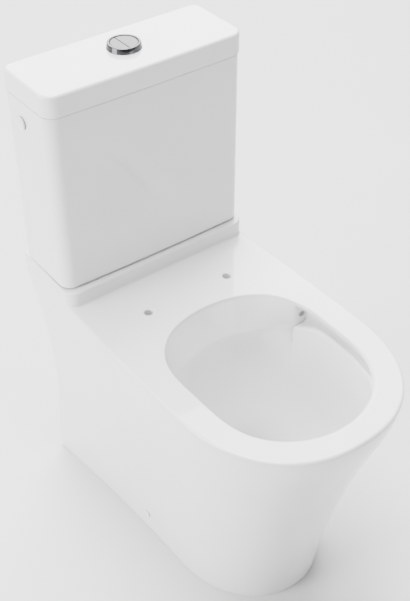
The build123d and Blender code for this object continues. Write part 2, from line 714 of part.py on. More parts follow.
def make_spring(x):
    """Return spring round a push rod, from the sleeve's floor to the button."""
    bottom = SLEEVE_BOTTOM + SLEEVE_FLOOR + SPRING_WIRE
    top = BUTTON_TOP - BUTTON_DEPTH - SPRING_WIRE
    path = Helix((top - bottom) / SPRING_TURNS, top - bottom, SPRING_RADIUS)
    profile = Plane(origin=path @ 0, z_dir=path % 0) * Circle(SPRING_WIRE)
    return at(x, -VALVE_REACH, bottom) * sweep(profile, path=path)


# ---- fill valve -------------------------------------------------------------
def make_inlet_shank():
    """Brass tail up through the cistern's floor into the fill valve."""
    thread = pipe(INLET_THREAD_RADIUS, INLET_BORE, CISTERN_BOTTOM - 46, CISTERN_BOTTOM - 8, FILL_X)
    neck = pipe(INLET_NECK_RADIUS, INLET_BORE, CISTERN_BOTTOM - 8, TANK_FLOOR + 2.0, FILL_X)
    flange = pipe(15.0, INLET_BORE, TANK_FLOOR + 2.0, TANK_FLOOR + 5.0, FILL_X)
    return thread + neck + flange


def make_inlet_washer():
    return pipe(15.5, INLET_NECK_RADIUS, TANK_FLOOR, TANK_FLOOR + 2.0, FILL_X)


def make_inlet_backnut():
    nut = hex_nut(30.0, 7.0, INLET_NECK_RADIUS)
    return at(FILL_X, -VALVE_REACH, CISTERN_BOTTOM - 7) * nut


def make_inlet_filter():
    return pipe(INLET_BORE, 5.4, CISTERN_BOTTOM - 40, CISTERN_BOTTOM - 16, FILL_X)


def make_fill_body():
    """Standpipe that the float cup slides on."""
    collar = pipe(17.0, INLET_BORE, TANK_FLOOR + 5.0, TANK_FLOOR + 21.0, FILL_X)
    tube = pipe(FILL_TUBE_RADIUS, 7.5, TANK_FLOOR + 21.0, FILL_HEAD_BOTTOM, FILL_X)
    stop = pipe(18.0, FILL_TUBE_RADIUS, FLOAT_BOTTOM - 6, FLOAT_BOTTOM - 2, FILL_X)
    seat = pipe(20.0, 3.0, FILL_HEAD_BOTTOM, FILL_HEAD_BOTTOM + 12, FILL_X)
    x = float_hinge_x()
    low = FILL_HEAD_BOTTOM
    ear = block(x - 4, x + 12, -VALVE_REACH - 7, -VALVE_REACH + 7, low, low + 8)
    slot = block(x - 9, x + 3.6, -VALVE_REACH - 4, -VALVE_REACH + 4, low - 1, low + 9)
    hole = bar_along_y(FLOAT_PIN_RADIUS, -VALVE_REACH - 10, -VALVE_REACH + 10, x, FLOAT_PIVOT_HEIGHT)
    return collar + tube + stop + seat + (ear - slot - hole)


def make_fill_head():
    cap = pipe(21.5, 20.0, FILL_HEAD_BOTTOM + 9, FILL_HEAD_TOP - 3, FILL_X)
    cap += rod(21.5, FILL_HEAD_TOP - 3, FILL_HEAD_TOP, FILL_X)
    low = FILL_HEAD_BOTTOM
    cap -= block(FILL_X - 30, FILL_X - 8, -VALVE_REACH - 8, -VALVE_REACH + 8, low, low + 13)
    return fillet(cap.faces().sort_by(Axis.Z)[-1].edges(), 2.0)


def make_fill_diaphragm():
    disc = rod(19.0, FILL_HEAD_BOTTOM + 12, FILL_HEAD_BOTTOM + 14, FILL_X)
    return disc + rod(5.0, FILL_HEAD_BOTTOM + 14, FILL_HEAD_BOTTOM + 17, FILL_X)


def make_fill_outlet_tube():
    """Quiet fill tube beside the standpipe, open near the cistern's floor."""
    x = FILL_X + 24
    low = FILL_HEAD_BOTTOM
    tube = pipe(5.0, 3.8, TANK_FLOOR + 30, low - 4, x)
    link = block(FILL_X + 20.0, x, -VALVE_REACH - 4, -VALVE_REACH + 4, low, low + 8)
    elbow = rod(5.0, low - 4, low + 8, x)
    return tube + elbow + link - rod(20.0, low - 1, FILL_HEAD_TOP, FILL_X)


def make_float_cup():
    """Annular cup, open below, round the standpipe."""
    cup = pipe(27.0, FILL_TUBE_RADIUS + 0.5, FLOAT_BOTTOM, FLOAT_TOP, FILL_X)
    air = pipe(25.2, FILL_TUBE_RADIUS + 2.3, FLOAT_BOTTOM - 1, FLOAT_TOP - 2, FILL_X)
    cup -= rod(8.0, FLOAT_BOTTOM - 1, FLOAT_TOP + 1, FILL_X + 24)
    air -= rod(9.8, FLOAT_BOTTOM - 2, FLOAT_TOP + 1, FILL_X + 24)
    lug = block(float_rod_x() - 5, FILL_X - 25, -VALVE_REACH - 4, -VALVE_REACH + 4, FLOAT_TOP - 5, FLOAT_TOP)
    return cup - air + lug - rod(2.0, FLOAT_TOP - 6, FLOAT_TOP + 1, float_rod_x())


def float_hinge_x():
    return FILL_X - 24


def float_rod_x():
    return float_hinge_x() - FLOAT_ARM + 3


def make_float_rod():
    """Adjusting screw from the float's lug up to just under the lever."""
    top = FLOAT_PIVOT_HEIGHT - FLOAT_ARM * sin_deg(FLOAT_TILT) - 3.0
    screw = rod(2.0, FLOAT_TOP - 12, top, float_rod_x())
    return screw + rod(4.0, FLOAT_TOP - 12, FLOAT_TOP - 5, float_rod_x())


def make_float_lever():
    """Arm from the fill valve's head out over the float's rod, at its lowest."""
    arm = block(-FLOAT_ARM - 4, 0, -3.4, 3.4, -1.6, 1.6)
    boss = bar_along_y(3.2, -3.4, 3.4, 0, 0)
    shape = arm + boss - bar_along_y(FLOAT_PIN_RADIUS + PIN_CLEARANCE, -5, 5, 0, 0)
    return at(float_hinge_x(), -VALVE_REACH, FLOAT_PIVOT_HEIGHT) * Rotation(0, -FLOAT_TILT, 0) * shape


def make_float_lever_pin():
    x = float_hinge_x()
    return bar_along_y(FLOAT_PIN_RADIUS, -VALVE_REACH - 8, -VALVE_REACH + 8, x, FLOAT_PIVOT_HEIGHT)


# ---- floor fixings ----------------------------------------------------------
def make_floor_brackets():
    """Angle blocks on the floor inside the skirt, one each side."""
    outer = skirt_half(SIDE_FIX_REACH, SIDE_FIX_HEIGHT) - CHINA - 1.5
    foot = block(outer - 46, outer - 3, -SIDE_FIX_REACH - 20, -SIDE_FIX_REACH + 20, 0, 6)
    upright = block(outer - 12, outer - 3, -SIDE_FIX_REACH - 20, -SIDE_FIX_REACH + 20, 0, 64)
    web = block(outer - 40, outer - 8, -SIDE_FIX_REACH + 14, -SIDE_FIX_REACH + 20, 0, 40)
    web -= at(outer - 46, -SIDE_FIX_REACH, 48) * Rotation(90, 0, 0) * Cylinder(34, 100)
    shape = foot + upright + web
    shape -= rod(4.0, -1, 7, FLOOR_HOLE_SPACING / 2, -SIDE_FIX_REACH - 4)
    shape -= bar_along_x(2.9, outer - 14, outer, -SIDE_FIX_REACH, SIDE_FIX_HEIGHT)
    return both_sides(shape)


def make_side_screws():
    outer = skirt_half(SIDE_FIX_REACH, SIDE_FIX_HEIGHT)
    shank = bar_along_x(2.9, outer - 40, outer - 6, -SIDE_FIX_REACH, SIDE_FIX_HEIGHT)
    head = bar_along_x(5.4, outer - 7, outer - 4.2, -SIDE_FIX_REACH, SIDE_FIX_HEIGHT)
    return both_sides(shank + head)


def make_side_caps():
    outer = skirt_half(SIDE_FIX_REACH, SIDE_FIX_HEIGHT)
    cap = bar_along_x(7.5, outer + CAP_GAP, outer + CAP_GAP + 2.0, -SIDE_FIX_REACH, SIDE_FIX_HEIGHT)
    cap = fillet(cap.faces().sort_by(Axis.X)[-1].edges(), 1.4)
    stem = bar_along_x(SIDE_FIX_HOLE - 0.3, outer - 4, outer + CAP_GAP, -SIDE_FIX_REACH, SIDE_FIX_HEIGHT)
    return both_sides(cap + stem)


PARTS = {
    "pan": make_pan,
    "pan_bowl": make_pan_bowl,
    "cistern": make_cistern,
    "cistern_lid": make_lid,
    "lid_pads": make_lid_pads,
    "cistern_pads": make_cistern_pads,
    "side_inlet_plugs": make_side_plugs,
    "side_plug_seals": make_side_plug_seals,
    "side_plug_nuts": make_side_plug_nuts,
    "coupling_gasket": make_coupling_gasket,
    "coupling_bolts": make_coupling_bolts,
    "bolt_seals": make_bolt_seals,
    "bolt_washers": make_bolt_washers,
    "wing_nuts": make_wing_nuts,
    "flush_valve_base": make_valve_base,
    "flush_valve_gasket": make_valve_gasket,
    "flush_valve_backnut": make_valve_backnut,
    "flush_valve_cage": make_valve_cage,
    "overflow_tube": make_overflow_tube,
    "flush_seal": make_flush_seal,
    "seal_retainer": make_seal_retainer,
    "full_flush_lever": make_lever,
    "half_flush_lever": lambda: mirror(make_lever(), Plane.YZ),
    "lever_pins": make_lever_pins,
    "half_flush_float": make_half_float,
    "button_bezel": make_bezel,
    "button_nut": make_button_nut,
    "full_flush_button": lambda: make_button(1),
    "half_flush_button": lambda: make_button(-1),
    "full_push_rod": lambda: make_push_rod(ROD_X),
    "half_push_rod": lambda: make_push_rod(-ROD_X),
    "full_button_spring": lambda: make_spring(ROD_X),
    "half_button_spring": lambda: make_spring(-ROD_X),
    "inlet_shank": make_inlet_shank,
    "inlet_washer": make_inlet_washer,
    "inlet_backnut": make_inlet_backnut,
    "inlet_filter": make_inlet_filter,
    "fill_valve_body": make_fill_body,
    "fill_valve_head": make_fill_head,
    "fill_diaphragm": make_fill_diaphragm,
    "fill_outlet_tube": make_fill_outlet_tube,
    "float_cup": make_float_cup,
    "float_rod": make_float_rod,
    "float_lever": make_float_lever,
    "float_lever_pin": make_float_lever_pin,
    "floor_brackets": make_floor_brackets,
    "side_fixing_screws": make_side_screws,
    "side_fixing_caps": make_side_caps,
}

for name, make in PARTS.items():
    save(make(), name)
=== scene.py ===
import json
import math
import bpy
import bmesh
from mathutils import Matrix, Vector


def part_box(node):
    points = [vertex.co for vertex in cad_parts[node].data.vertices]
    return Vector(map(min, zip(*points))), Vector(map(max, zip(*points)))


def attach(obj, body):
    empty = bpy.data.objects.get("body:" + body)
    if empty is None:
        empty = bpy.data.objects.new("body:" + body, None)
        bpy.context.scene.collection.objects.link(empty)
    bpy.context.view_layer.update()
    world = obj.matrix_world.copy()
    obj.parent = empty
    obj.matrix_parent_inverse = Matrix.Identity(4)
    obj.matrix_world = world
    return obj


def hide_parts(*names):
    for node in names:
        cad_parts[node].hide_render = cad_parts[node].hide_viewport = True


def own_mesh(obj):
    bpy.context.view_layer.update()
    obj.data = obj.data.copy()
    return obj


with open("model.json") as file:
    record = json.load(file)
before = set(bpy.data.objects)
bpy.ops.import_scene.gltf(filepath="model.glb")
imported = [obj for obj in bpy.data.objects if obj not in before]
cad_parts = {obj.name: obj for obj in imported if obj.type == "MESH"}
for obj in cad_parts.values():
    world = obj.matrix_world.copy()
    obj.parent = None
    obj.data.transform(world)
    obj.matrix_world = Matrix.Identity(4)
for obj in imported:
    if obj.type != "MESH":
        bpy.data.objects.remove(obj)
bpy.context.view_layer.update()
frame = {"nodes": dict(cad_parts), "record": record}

# Close coupled toilet. Shapes are drawn in millimetres: x across, "reach" out
# from the wall towards the front of the pan, z up from the floor. to_frame()
# turns them into metres in the frame, where the wall is at the pan's rear end.

MM = 0.001
PAN_LOW, PAN_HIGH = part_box("pan")
WALL_Y = PAN_HIGH.y
PAN_LENGTH = (PAN_HIGH.y - PAN_LOW.y) / MM
PLATFORM_TOP = PAN_HIGH.z / MM

# ---- the pan ----------------------------------------------------------------
DECK_HEIGHT = 463.0
DECK_HALF_WIDTH = 184.0
DECK_EDGE_RADIUS = 4.0
DECK_THICKNESS = 14.0
CHINA = 11.0
ROUND_CENTRE_FLOOR = 379.0
ROUND_CENTRE_DECK = 439.5
ROUND_POWER = 2.05              # roundness of the front at the floor
ROUND_POWER_RISE = 0.25         # and how much squarer it is at the deck

# height, reach of the toe, half width at the round, half width at the wall
SKIRT = (
    (0.0, 533.5, 128.0, 150.0),
    (60.0, 540.5, 133.0, 148.5),
    (130.0, 555.5, 139.0, 144.0),
    (208.0, 574.0, 147.5, 142.5),
    (288.0, 598.5, 158.0, 149.5),
    (357.0, 623.0, 168.5, 158.0),
    (417.0, 645.5, 178.0, 169.0),
    (447.0, 653.5, 182.7, 173.5),
    (DECK_HEIGHT, PAN_LENGTH, DECK_HALF_WIDTH, 175.0),
)

MOUTH_HALF_WIDTH = 136.5
MOUTH_CENTRE = 433.0
MOUTH_FRONT = 176.5
MOUTH_REAR = 159.5
MOUTH_POWER_FRONT = 2.45
MOUTH_POWER_REAR = 2.6
# distance of the mouth's edge from its centre, as a sum of cosines of the turn from the front
MOUTH_WAVES = (155.4, 6.5, 16.3, 3.0, -4.3, 0.15, 0.25)
MOUTH_ROUNDING = 2.2            # of the mouth's edge at the sides and rear
MOUTH_ROUNDING_FRONT = 7.5

# depth below the deck, half width, reach of the front, reach of the rear
BOWL = (
    (8.0, MOUTH_HALF_WIDTH, MOUTH_CENTRE + MOUTH_FRONT, MOUTH_CENTRE - MOUTH_REAR),
    (30.0, 135.0, 607.0, 286.0),
    (62.0, 127.0, 601.0, 302.0),
    (110.0, 115.0, 583.0, 306.0),
    (170.0, 92.0, 545.0, 322.0),
    (235.0, 62.0, 490.0, 343.0),
    (290.0, 43.0, 450.0, 348.0),
    (322.0, 34.0, 438.0, 356.0),
)
BOWL_FADE = 75.0                # depth over which the mouth's outline turns into the ovals
SUMP_DEPTH = 334.0
SUMP_REACH = 398.0
CHAMBER_REACH = 354.0           # the chamber round the rear ends here, both sides
CHAMBER_DEPTH = 60.0
CHAMBER_WALL = 34.0             # from the mouth's edge to the chamber's outside
CHAMBER_FLOOR = 22.0            # thickness of its floor next to the bowl
CHAMBER_FLOOR_EDGE = 16.0       # and at its outside
CREASE_DEPTH = 58.0
CHANNEL_TOP = 9.0
CHANNEL_FADE = 47.0             # the channel starts to fade at this turn forwards
CHANNEL_END = 59.0              # and is gone here
CHANNEL_WALL = 13.0             # the china round it, at the widest part and at the front
CHANNEL_WALL_FRONT = 9.0
JET_RADIUS = 6.0
JET_X = 144.5
JET_LENGTH = 16.0               # depth of each jet's bore in the chamber's end
JET_LEAD = 6.0                  # how far its tool stands out of that end
JET_HEIGHT = DECK_HEIGHT - 34.0

# turn forwards from the widest part of the mouth, how far the channel reaches
# out under its edge, depth of the channel's lip, fall of its floor towards the lip
CHANNEL = (
    (-36.0, 26.0, 60.0, 5.0),
    (-32.0, 25.0, 57.5, 5.0),
    (-28.0, 24.0, 53.5, 4.5),
    (-24.3, 22.8, 48.5, 4.0),
    (-20.5, 21.5, 43.2, 3.5),
    (-16.5, 20.5, 39.0, 3.5),
    (-9.0, 18.5, 33.6, 3.2),
    (0.0, 17.0, 31.8, 3.2),
    (14.5, 14.5, 31.4, 3.2),
    (26.5, 12.5, 31.2, 3.0),
    (33.0, 10.6, 29.6, 2.8),
    (39.5, 7.6, 24.6, 2.4),
    (46.5, 3.6, 15.8, 1.2),
    (51.5, 1.2, 11.8, 0.3),
    (58.0, 0.3, 10.6, 0.1),
    (66.0, 0.3, 10.4, 0.1),
)

# turn from the rear, inset of the lower edge of the band round the rear
CREASE = (
    (-14.0, 26.5),
    (0.0, 27.0),
    (14.0, 26.5),
    (25.0, 27.0),
    (31.0, 24.5),
    (38.0, 20.0),
    (45.0, 14.0),
    (50.0, 8.5),
    (55.0, 2.5),
    (59.0, -4.0),
    (64.0, -7.0),
)

# inset and depth from the crease, of the rounded edge that the band ends in
CREASE_LIP = ((-0.4, -1.2), (0.3, 0.8), (0.9, 3.2), (1.4, 6.0))

PLATFORM_REACH = 151.5
PLATFORM_CORNER = 20.0
PLATFORM_EDGE_RADIUS = 2.5
PLATFORM_ROOM = 166.0           # half width of the room under its top plate
PLATFORM_WALL = CHINA + 3.0
ACCESS_NEAR = 92.0              # openings in its top plate, one on each side of the bolts
ACCESS_FAR = 150.0
ACCESS_HALF_LENGTH = 34.0

TRAP_RADIUS = 37.0
TRAP_WALL = 10.0
TRAP_ROUTE = (
    (413.0, 152.0), (322.0, 152.0), (272.0, 288.0), (200.0, 288.0), (130.0, 185.0), (24.0, 185.0),
)
TRAP_BEND = 58.0
SOCKET_RADIUS = 58.0
SOCKET_BORE = 36.0
SOCKET_WALL = 6.0
SOCKET_DEPTH = 14.1             # of the wide part, which takes the coupling gasket
SOCKET_FLOOR = 8.0              # thickness of the china under its bore
DUCT_HALF_WIDTH = 36.0          # the block of china between the socket and the chamber
DUCT_END = 262.0
SIDE_FIX_REACH = 279.0
SIDE_FIX_HEIGHT = 46.0
SIDE_FIX_HOLE = 6.0
SIDE_FIX_DEPTH = 7.0
PIERCE = 5.0                    # how far a cutting tool stands out of a face
PLATE_CUT = 30.0                # how deep the tools for the top plate reach

OUTLET_HEIGHT = 185.0
OUTLET_RADIUS = 51.0
OUTLET_BORE = 41.0
OUTLET_END = 8.0
OUTLET_LENGTH = 62.0
OUTLET_BORE_LENGTH = 40.0

SEAT_HOLE_SPACING = 160.0
SEAT_HOLE_REACH = 231.0
SEAT_HOLE_RADIUS = 7.4

# ---- the cistern and its lid --------------------------------------------------
TANK_LOW, TANK_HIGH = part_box("cistern")
TANK_BOTTOM = TANK_LOW.z / MM
TANK_TOP = TANK_HIGH.z / MM
TANK_HALF_WIDTH = 178.6
TANK_TAPER = 1.0                # wider at the top, narrower at the bottom by this much
FRONT_BOW = 2.5
TANK_FRONT = (WALL_Y - TANK_LOW.y) / MM - FRONT_BOW
TANK_REAR = (WALL_Y - TANK_HIGH.y) / MM
TANK_CORNER = 20.0
TANK_REAR_CORNER = 12.0
TANK_WALL = 9.0
TANK_FLOOR = 12.0
UNDER_INSET = 10.0              # of the underside's face behind its rounded edge

LID_LOW, LID_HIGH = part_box("cistern_lid")
LID_BOTTOM = LID_LOW.z / MM
LID_TOP = LID_HIGH.z / MM
LID_HALF_WIDTH = 181.0
LID_FRONT = (WALL_Y - LID_LOW.y) / MM - FRONT_BOW
LID_REAR = 11.0
LID_CORNER = 22.0
LID_REAR_CORNER = 15.0
LID_WALL = 14.0
LID_THICKNESS = 11.0
LID_EDGE_RADIUS = 4.5

VALVE_REACH = 73.0
FLUSH_HOLE_RADIUS = 32.0
BOLT_SPACING = 152.0
BOLT_HOLE = 5.5
FILL_X = 117.0
INLET_HOLE = 11.3
SIDE_HOLE_RADIUS = 9.0
SIDE_HOLE_REACH = 60.0
SIDE_HOLE_HEIGHT = 770.0

# ---- the buttons ----------------------------------------------------------------
BEZEL_RADIUS = 28.0
BEZEL_CROWN_RADIUS = 26.6
BEZEL_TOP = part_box("button_bezel")[1].z / MM
BUTTON_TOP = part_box("full_flush_button")[1].z / MM
BUTTON_RADIUS = 21.9
BUTTON_DEPTH = 9.0
SPLIT_X = -3.0
SPLIT_GAP = 0.6
SLEEVE_RADIUS = 23.6
SLEEVE_BORE = 22.4
SLEEVE_BOTTOM = 802.0
SLEEVE_FLOOR = 3.0
LID_HOLE_RADIUS = 24.5
ROD_X = 10.0
ROD_HOLE = 2.9
SPRING_RADIUS = 4.6
SPRING_WIRE = 0.45
SPRING_TURNS = 7

ROUND_STEPS = 120               # columns round the front half of every pan outline
REAR_STEPS = 120                # and round its rear half
WALL_SHARE = 35 / REAR_STEPS    # where, in the rear half, the outline meets the wall
OUTER_CORNER = 180.0 + 180.0 * WALL_SHARE
INNER_CORNER = OUTER_CORNER + 0.4
FINE_TURNS = (0.0, 22.5, 45.0, 67.5, 90.0)      # degrees along a rounded edge
COARSE_TURNS = (0.0, 30.0, 60.0, 90.0)
ROD_STEPS = 64                  # flats round an upright bore
BAR_STEPS = 48                  # and round a level one
OUTLET_STEPS = 96
SMOOTH_ANGLE = 40.0             # edges sharper than this are drawn sharp
SHARP_ANGLE = 38.0              # and the same on the pieces that have been cut


# ---- small helpers ----------------------------------------------------------------
def to_frame(x, reach, z):
    return Vector((x * MM, WALL_Y - reach * MM, z * MM))


def mesh_piece(name, points, faces):
    """A mesh from points in millimetres (x, reach, z), smooth except at sharp angles."""
    mesh = bpy.data.meshes.new(name)
    mesh.from_pydata([to_frame(*p) for p in points], [], faces)
    tidy = bmesh.new()
    tidy.from_mesh(mesh)
    bmesh.ops.remove_doubles(tidy, verts=tidy.verts, dist=1e-6)
    bmesh.ops.delete(tidy, geom=[v for v in tidy.verts if not v.link_faces], context="VERTS")
    bmesh.ops.recalc_face_normals(tidy, faces=tidy.faces)
    tidy.to_mesh(mesh)
    tidy.free()
    piece = bpy.data.objects.new(name, mesh)
    bpy.context.collection.objects.link(piece)
    shade(piece, SMOOTH_ANGLE)
    return piece


def shade(piece, sharp_angle):
    piece.data.shade_smooth()
    piece.data.set_sharp_from_angle(angle=math.radians(sharp_angle))


def weigh_normals(piece):
    """Keeps large flat faces flat next to small rounded edges."""
    weighted = piece.modifiers.new("weighted normals", "WEIGHTED_NORMAL")
    weighted.keep_sharp = True
    weighted.weight = 80


def ring_faces(rows):
    """Quads between closed rows of equal length, as index lists."""
    count = len(rows[0])
    faces = []
    for r in range(len(rows) - 1):
        for c in range(count):
            d = (c + 1) % count
            faces.append((r * count + c, r * count + d, (r + 1) * count + d, (r + 1) * count + c))
    return faces


def loft(name, rows):
    """A solid through closed rows of points, with a flat face on the first and the last row."""
    points = [p for row in rows for p in row]
    faces = ring_faces(rows)
    count = len(rows[0])
    faces.append(tuple(range(count)))
    faces.append(tuple(range(len(points) - count, len(points))))
    return mesh_piece(name, points, faces)


def turned(name, profile, x, reach, steps):
    """A closed profile of (radius, z) turned about an upright axis."""
    rows = []
    for i in range(steps):
        a = 2 * math.pi * i / steps
        rows.append([(x + r * math.cos(a), reach - r * math.sin(a), z) for r, z in profile])
    rows.append(rows[0])
    points = [p for row in rows for p in row]
    return mesh_piece(name, points, ring_faces(rows))


def arc(cx, cz, radius, start, end, steps):
    """Points of a circular arc in a profile, angles in degrees."""
    out = []
    for i in range(steps + 1):
        a = math.radians(start + (end - start) * i / steps)
        out.append((cx + radius * math.cos(a), cz + radius * math.sin(a)))
    return out


def mix(a, b, share):
    return a + (b - a) * share


def smooth_step(value, low, high):
    t = min(max((value - low) / (high - low), 0.0), 1.0)
    return t * t * (3 - 2 * t)


def table_at(table, key):
    """Smooth (Catmull-Rom) reading of a table whose first column is the key."""
    last = len(table) - 1
    i = 0
    while i < last - 1 and table[i + 1][0] < key:
        i += 1
    t = (key - table[i][0]) / (table[i + 1][0] - table[i][0])
    out = []
    for column in range(1, len(table[0])):
        p = [table[min(max(j, 0), last)] for j in (i - 1, i, i + 1, i + 2)]
        width = p[2][0] - p[1][0]
        before = max(p[2][0] - p[0][0], 1e-6)
        after = max(p[3][0] - p[1][0], 1e-6)
        slope_1 = (p[2][column] - p[0][column]) / before * width
        slope_2 = (p[3][column] - p[1][column]) / after * width
        out.append(
            (2 * t**3 - 3 * t**2 + 1) * p[1][column]
            + (t**3 - 2 * t**2 + t) * slope_1
            + (-2 * t**3 + 3 * t**2) * p[2][column]
            + (t**3 - t**2) * slope_2
        )
    return out


def combine(piece, operation, *tools):
    """Joins the tools to the piece or cuts them out of it, and removes them."""
    for tool in tools:
        step = piece.modifiers.new("combine", "BOOLEAN")
        step.operation = operation
        step.object = tool
        step.solver = "EXACT"
    bpy.context.view_layer.update()
    depsgraph = bpy.context.evaluated_depsgraph_get()
    result = bpy.data.meshes.new_from_object(piece.evaluated_get(depsgraph))
    piece.modifiers.clear()
    piece.data = result
    for tool in tools:
        bpy.data.objects.remove(tool)


def finish_piece(piece, body, material, slot, *nodes):
    piece.data.materials.clear()
    piece.data.materials.append(material)
    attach(piece, body)
    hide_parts(*nodes)


# ---- outlines of the pan ----------------------------------------------------------
def mouth_radius(angle):
    turn = math.radians(angle - 90.0)
    return sum(wave * math.cos(k * turn) for k, wave in enumerate(MOUTH_WAVES))


def mouth(angle):
    radius = mouth_radius(angle)
    a = math.radians(angle)
    return radius * math.cos(a), MOUTH_CENTRE + radius * math.sin(a)


def end_angle():
    """How far back from the widest part of the mouth the chamber ends, in degrees."""
    low, high = 10.0, 60.0
    for _ in range(40):
        middle = (low + high) / 2
        if mouth(360.0 - middle)[1] > CHAMBER_REACH:
            low = middle
        else:
            high = middle
    return low


END_ANGLE = end_angle()

# degrees before the chamber's end, how far its corner is rounded off there
END_COLUMNS = ((2.1, 0.0), (1.6, 0.25), (1.15, 0.8), (0.75, 1.8), (0.45, 3.0), (0.25, 4.6))
PAST_END = 0.1


def column_angles():
    """Angles of the columns: 0 at the right, 90 at the front, 270 at the rear.
    The chamber's two ends get a group of columns close together."""
    step = 180.0 / ROUND_STEPS
    angles = [step * i for i in range(ROUND_STEPS + 1)]
    rear_step = 180.0 / REAR_STEPS
    angles += [180.0 + rear_step * i for i in range(1, REAR_STEPS)]
    angles += [INNER_CORNER, 540.0 - INNER_CORNER]
    ends = []
    for turn, way in ((180.0 + END_ANGLE, 1), (360.0 - END_ANGLE, -1)):
        ends += [turn + way * before for before, _ in END_COLUMNS] + [turn - way * PAST_END]
        angles = [a for a in angles if not -0.8 < (a - turn) * way < 2.8]
    return sorted(angles + ends)


COLUMNS = column_angles()


def signed_power(value, exponent):
    return math.copysign(abs(value) ** exponent, value)


def egg(angle, half, front, rear, centre, front_power, rear_power):
    """Point (x, reach) of an oval, with its own roundness in front and behind."""
    c = math.cos(math.radians(angle))
    s = math.sin(math.radians(angle))
    power = front_power if s > 0 else rear_power
    length = (front - centre) if s > 0 else (centre - rear)
    radius = (abs(c / half) ** power + abs(s / length) ** power) ** (-1 / power)
    return radius * c, centre + radius * s


def mouth_inset(angle, inset):
    """Point of the mouth's outline moved inwards by inset, square to the outline."""
    x0, r0 = mouth(angle - 0.2)
    x1, r1 = mouth(angle + 0.2)
    x, r = mouth(angle)
    length = math.hypot(x1 - x0, r1 - r0)
    return x - inset * (r1 - r0) / length, r + inset * (x1 - x0) / length


def skirt_point(angle, z, inset=0.0):
    """Point (x, reach) of the pan's outside at height z."""
    toe, half, half_wall = table_at(SKIRT, z)
    share = z / DECK_HEIGHT
    centre = mix(ROUND_CENTRE_FLOOR, ROUND_CENTRE_DECK, share)
    power = ROUND_POWER + ROUND_POWER_RISE * share
    half -= inset
    half_wall -= inset
    if angle <= 180.0:
        c = math.cos(math.radians(angle))
        s = math.sin(math.radians(angle))
        return half * signed_power(c, 2 / power), centre + (toe - inset - centre) * s ** (2 / power)
    part = (angle - 180.0) / 180.0
    side = -1.0 if part <= 0.5 else 1.0
    part = min(part, 1.0 - part)
    turn = 180.0 + 180.0 * part
    if turn >= INNER_CORNER - 1e-6:
        return side * (half_wall - CHINA + inset) * (270.0 - turn) / (270.0 - INNER_CORNER), 0.0
    if turn >= OUTER_CORNER - 1e-6:
        return side * half_wall, 0.0
    along = part / WALL_SHARE
    return side * mix(half, half_wall, along * along), centre * (1 - along)


def on_wall_line(angle):
    return INNER_CORNER - 1e-6 <= angle <= 540.0 - INNER_CORNER + 1e-6


# ---- the pan: one closed body of china --------------------------------------------
def skirt_levels():
    """(height, inset) of the rows from the floor up to the deck's underside."""
    levels = [(0.0, 2.0), (0.5, 0.6), (1.6, 0.0)]
    under = DECK_HEIGHT - DECK_THICKNESS
    steps = 40
    return levels + [(mix(1.6, under, i / steps), 0.0) for i in range(1, steps + 1)]


def skirt_rows():
    rows = [[(*skirt_point(a, z, inset), z) for a in COLUMNS] for z, inset in skirt_levels()]
    top = DECK_HEIGHT - DECK_EDGE_RADIUS
    rows.append([(*skirt_point(a, top - 5.0), top - 5.0) for a in COLUMNS])
    for turn in FINE_TURNS:
        t = math.radians(turn)
        inset = DECK_EDGE_RADIUS * (1 - math.cos(t))
        z = top + DECK_EDGE_RADIUS * math.sin(t)
        rows.append([(*skirt_point(a, top, inset), z) for a in COLUMNS])
    return rows


def lining_rows():
    """The inside of the skirt, from the deck's underside down to the floor."""
    return [[(*skirt_point(a, z, CHINA), z) for a in COLUMNS] for z, _ in reversed(skirt_levels())]


def under_rows():
    """The outside of the bowl, hidden in the skirt, from its bottom up to the deck's underside."""
    rows = []
    steps = 14
    low = BOWL[-1][0]
    for share in (0.3, 0.7, 0.95):
        depth = SUMP_DEPTH + CHINA
        rows.append([grown_bowl(a, low, share) + (DECK_HEIGHT - depth,) for a in COLUMNS])
    for i in range(steps + 1):
        depth = mix(low, CHAMBER_DEPTH + CHAMBER_FLOOR, i / steps)
        rows.append([grown_bowl(a, depth, 1.0) + (DECK_HEIGHT - depth,) for a in COLUMNS])
    for depth in (CHAMBER_DEPTH + CHAMBER_FLOOR_EDGE, DECK_THICKNESS):
        rows.append([(*mouth_inset(a, -housing_wall(a)), DECK_HEIGHT - depth) for a in COLUMNS])
    return rows


def grown_bowl(angle, depth, share):
    """Point of the bowl's outside, drawn in towards the sump's middle as share falls."""
    x, r = bowl_point(angle, depth)
    nx, nr = math.cos(math.radians(angle)), math.sin(math.radians(angle))
    return (x + CHINA * nx) * share, mix(SUMP_REACH, r + CHINA * nr, share)


def housing_wall(angle):
    """How far the china round the channel and the chamber reaches out from the mouth."""
    if angle > 180.0:
        return CHAMBER_WALL
    turn = side_turn(angle)
    reach_out = table_at(CHANNEL, min(turn, CHANNEL_END))[0]
    return reach_out + mix(CHANNEL_WALL, CHANNEL_WALL_FRONT, smooth_step(turn, 0.0, 50.0))


def side_turn(angle):
    """Degrees forwards from the widest part of the mouth, the same on both sides."""
    if angle > 270.0:
        return angle - 360.0
    if angle > 90.0:
        return 180.0 - angle
    return angle


def mouth_rounding(angle):
    if angle > 180.0:
        return MOUTH_ROUNDING
    return mix(MOUTH_ROUNDING, MOUTH_ROUNDING_FRONT, smooth_step(side_turn(angle), 14.0, 50.0))


def deck_rows():
    rows = []
    edge = [skirt_point(a, DECK_HEIGHT - DECK_EDGE_RADIUS, DECK_EDGE_RADIUS) for a in COLUMNS]
    lip = [mouth_inset(a, -mouth_rounding(a)) for a in COLUMNS]
    for share in (0.02, 0.2, 0.4, 0.6, 0.8, 0.96):
        rows.append([
            (mix(o[0], m[0], share), mix(o[1], m[1], share), DECK_HEIGHT) for o, m in zip(edge, lip)
        ])
    return rows


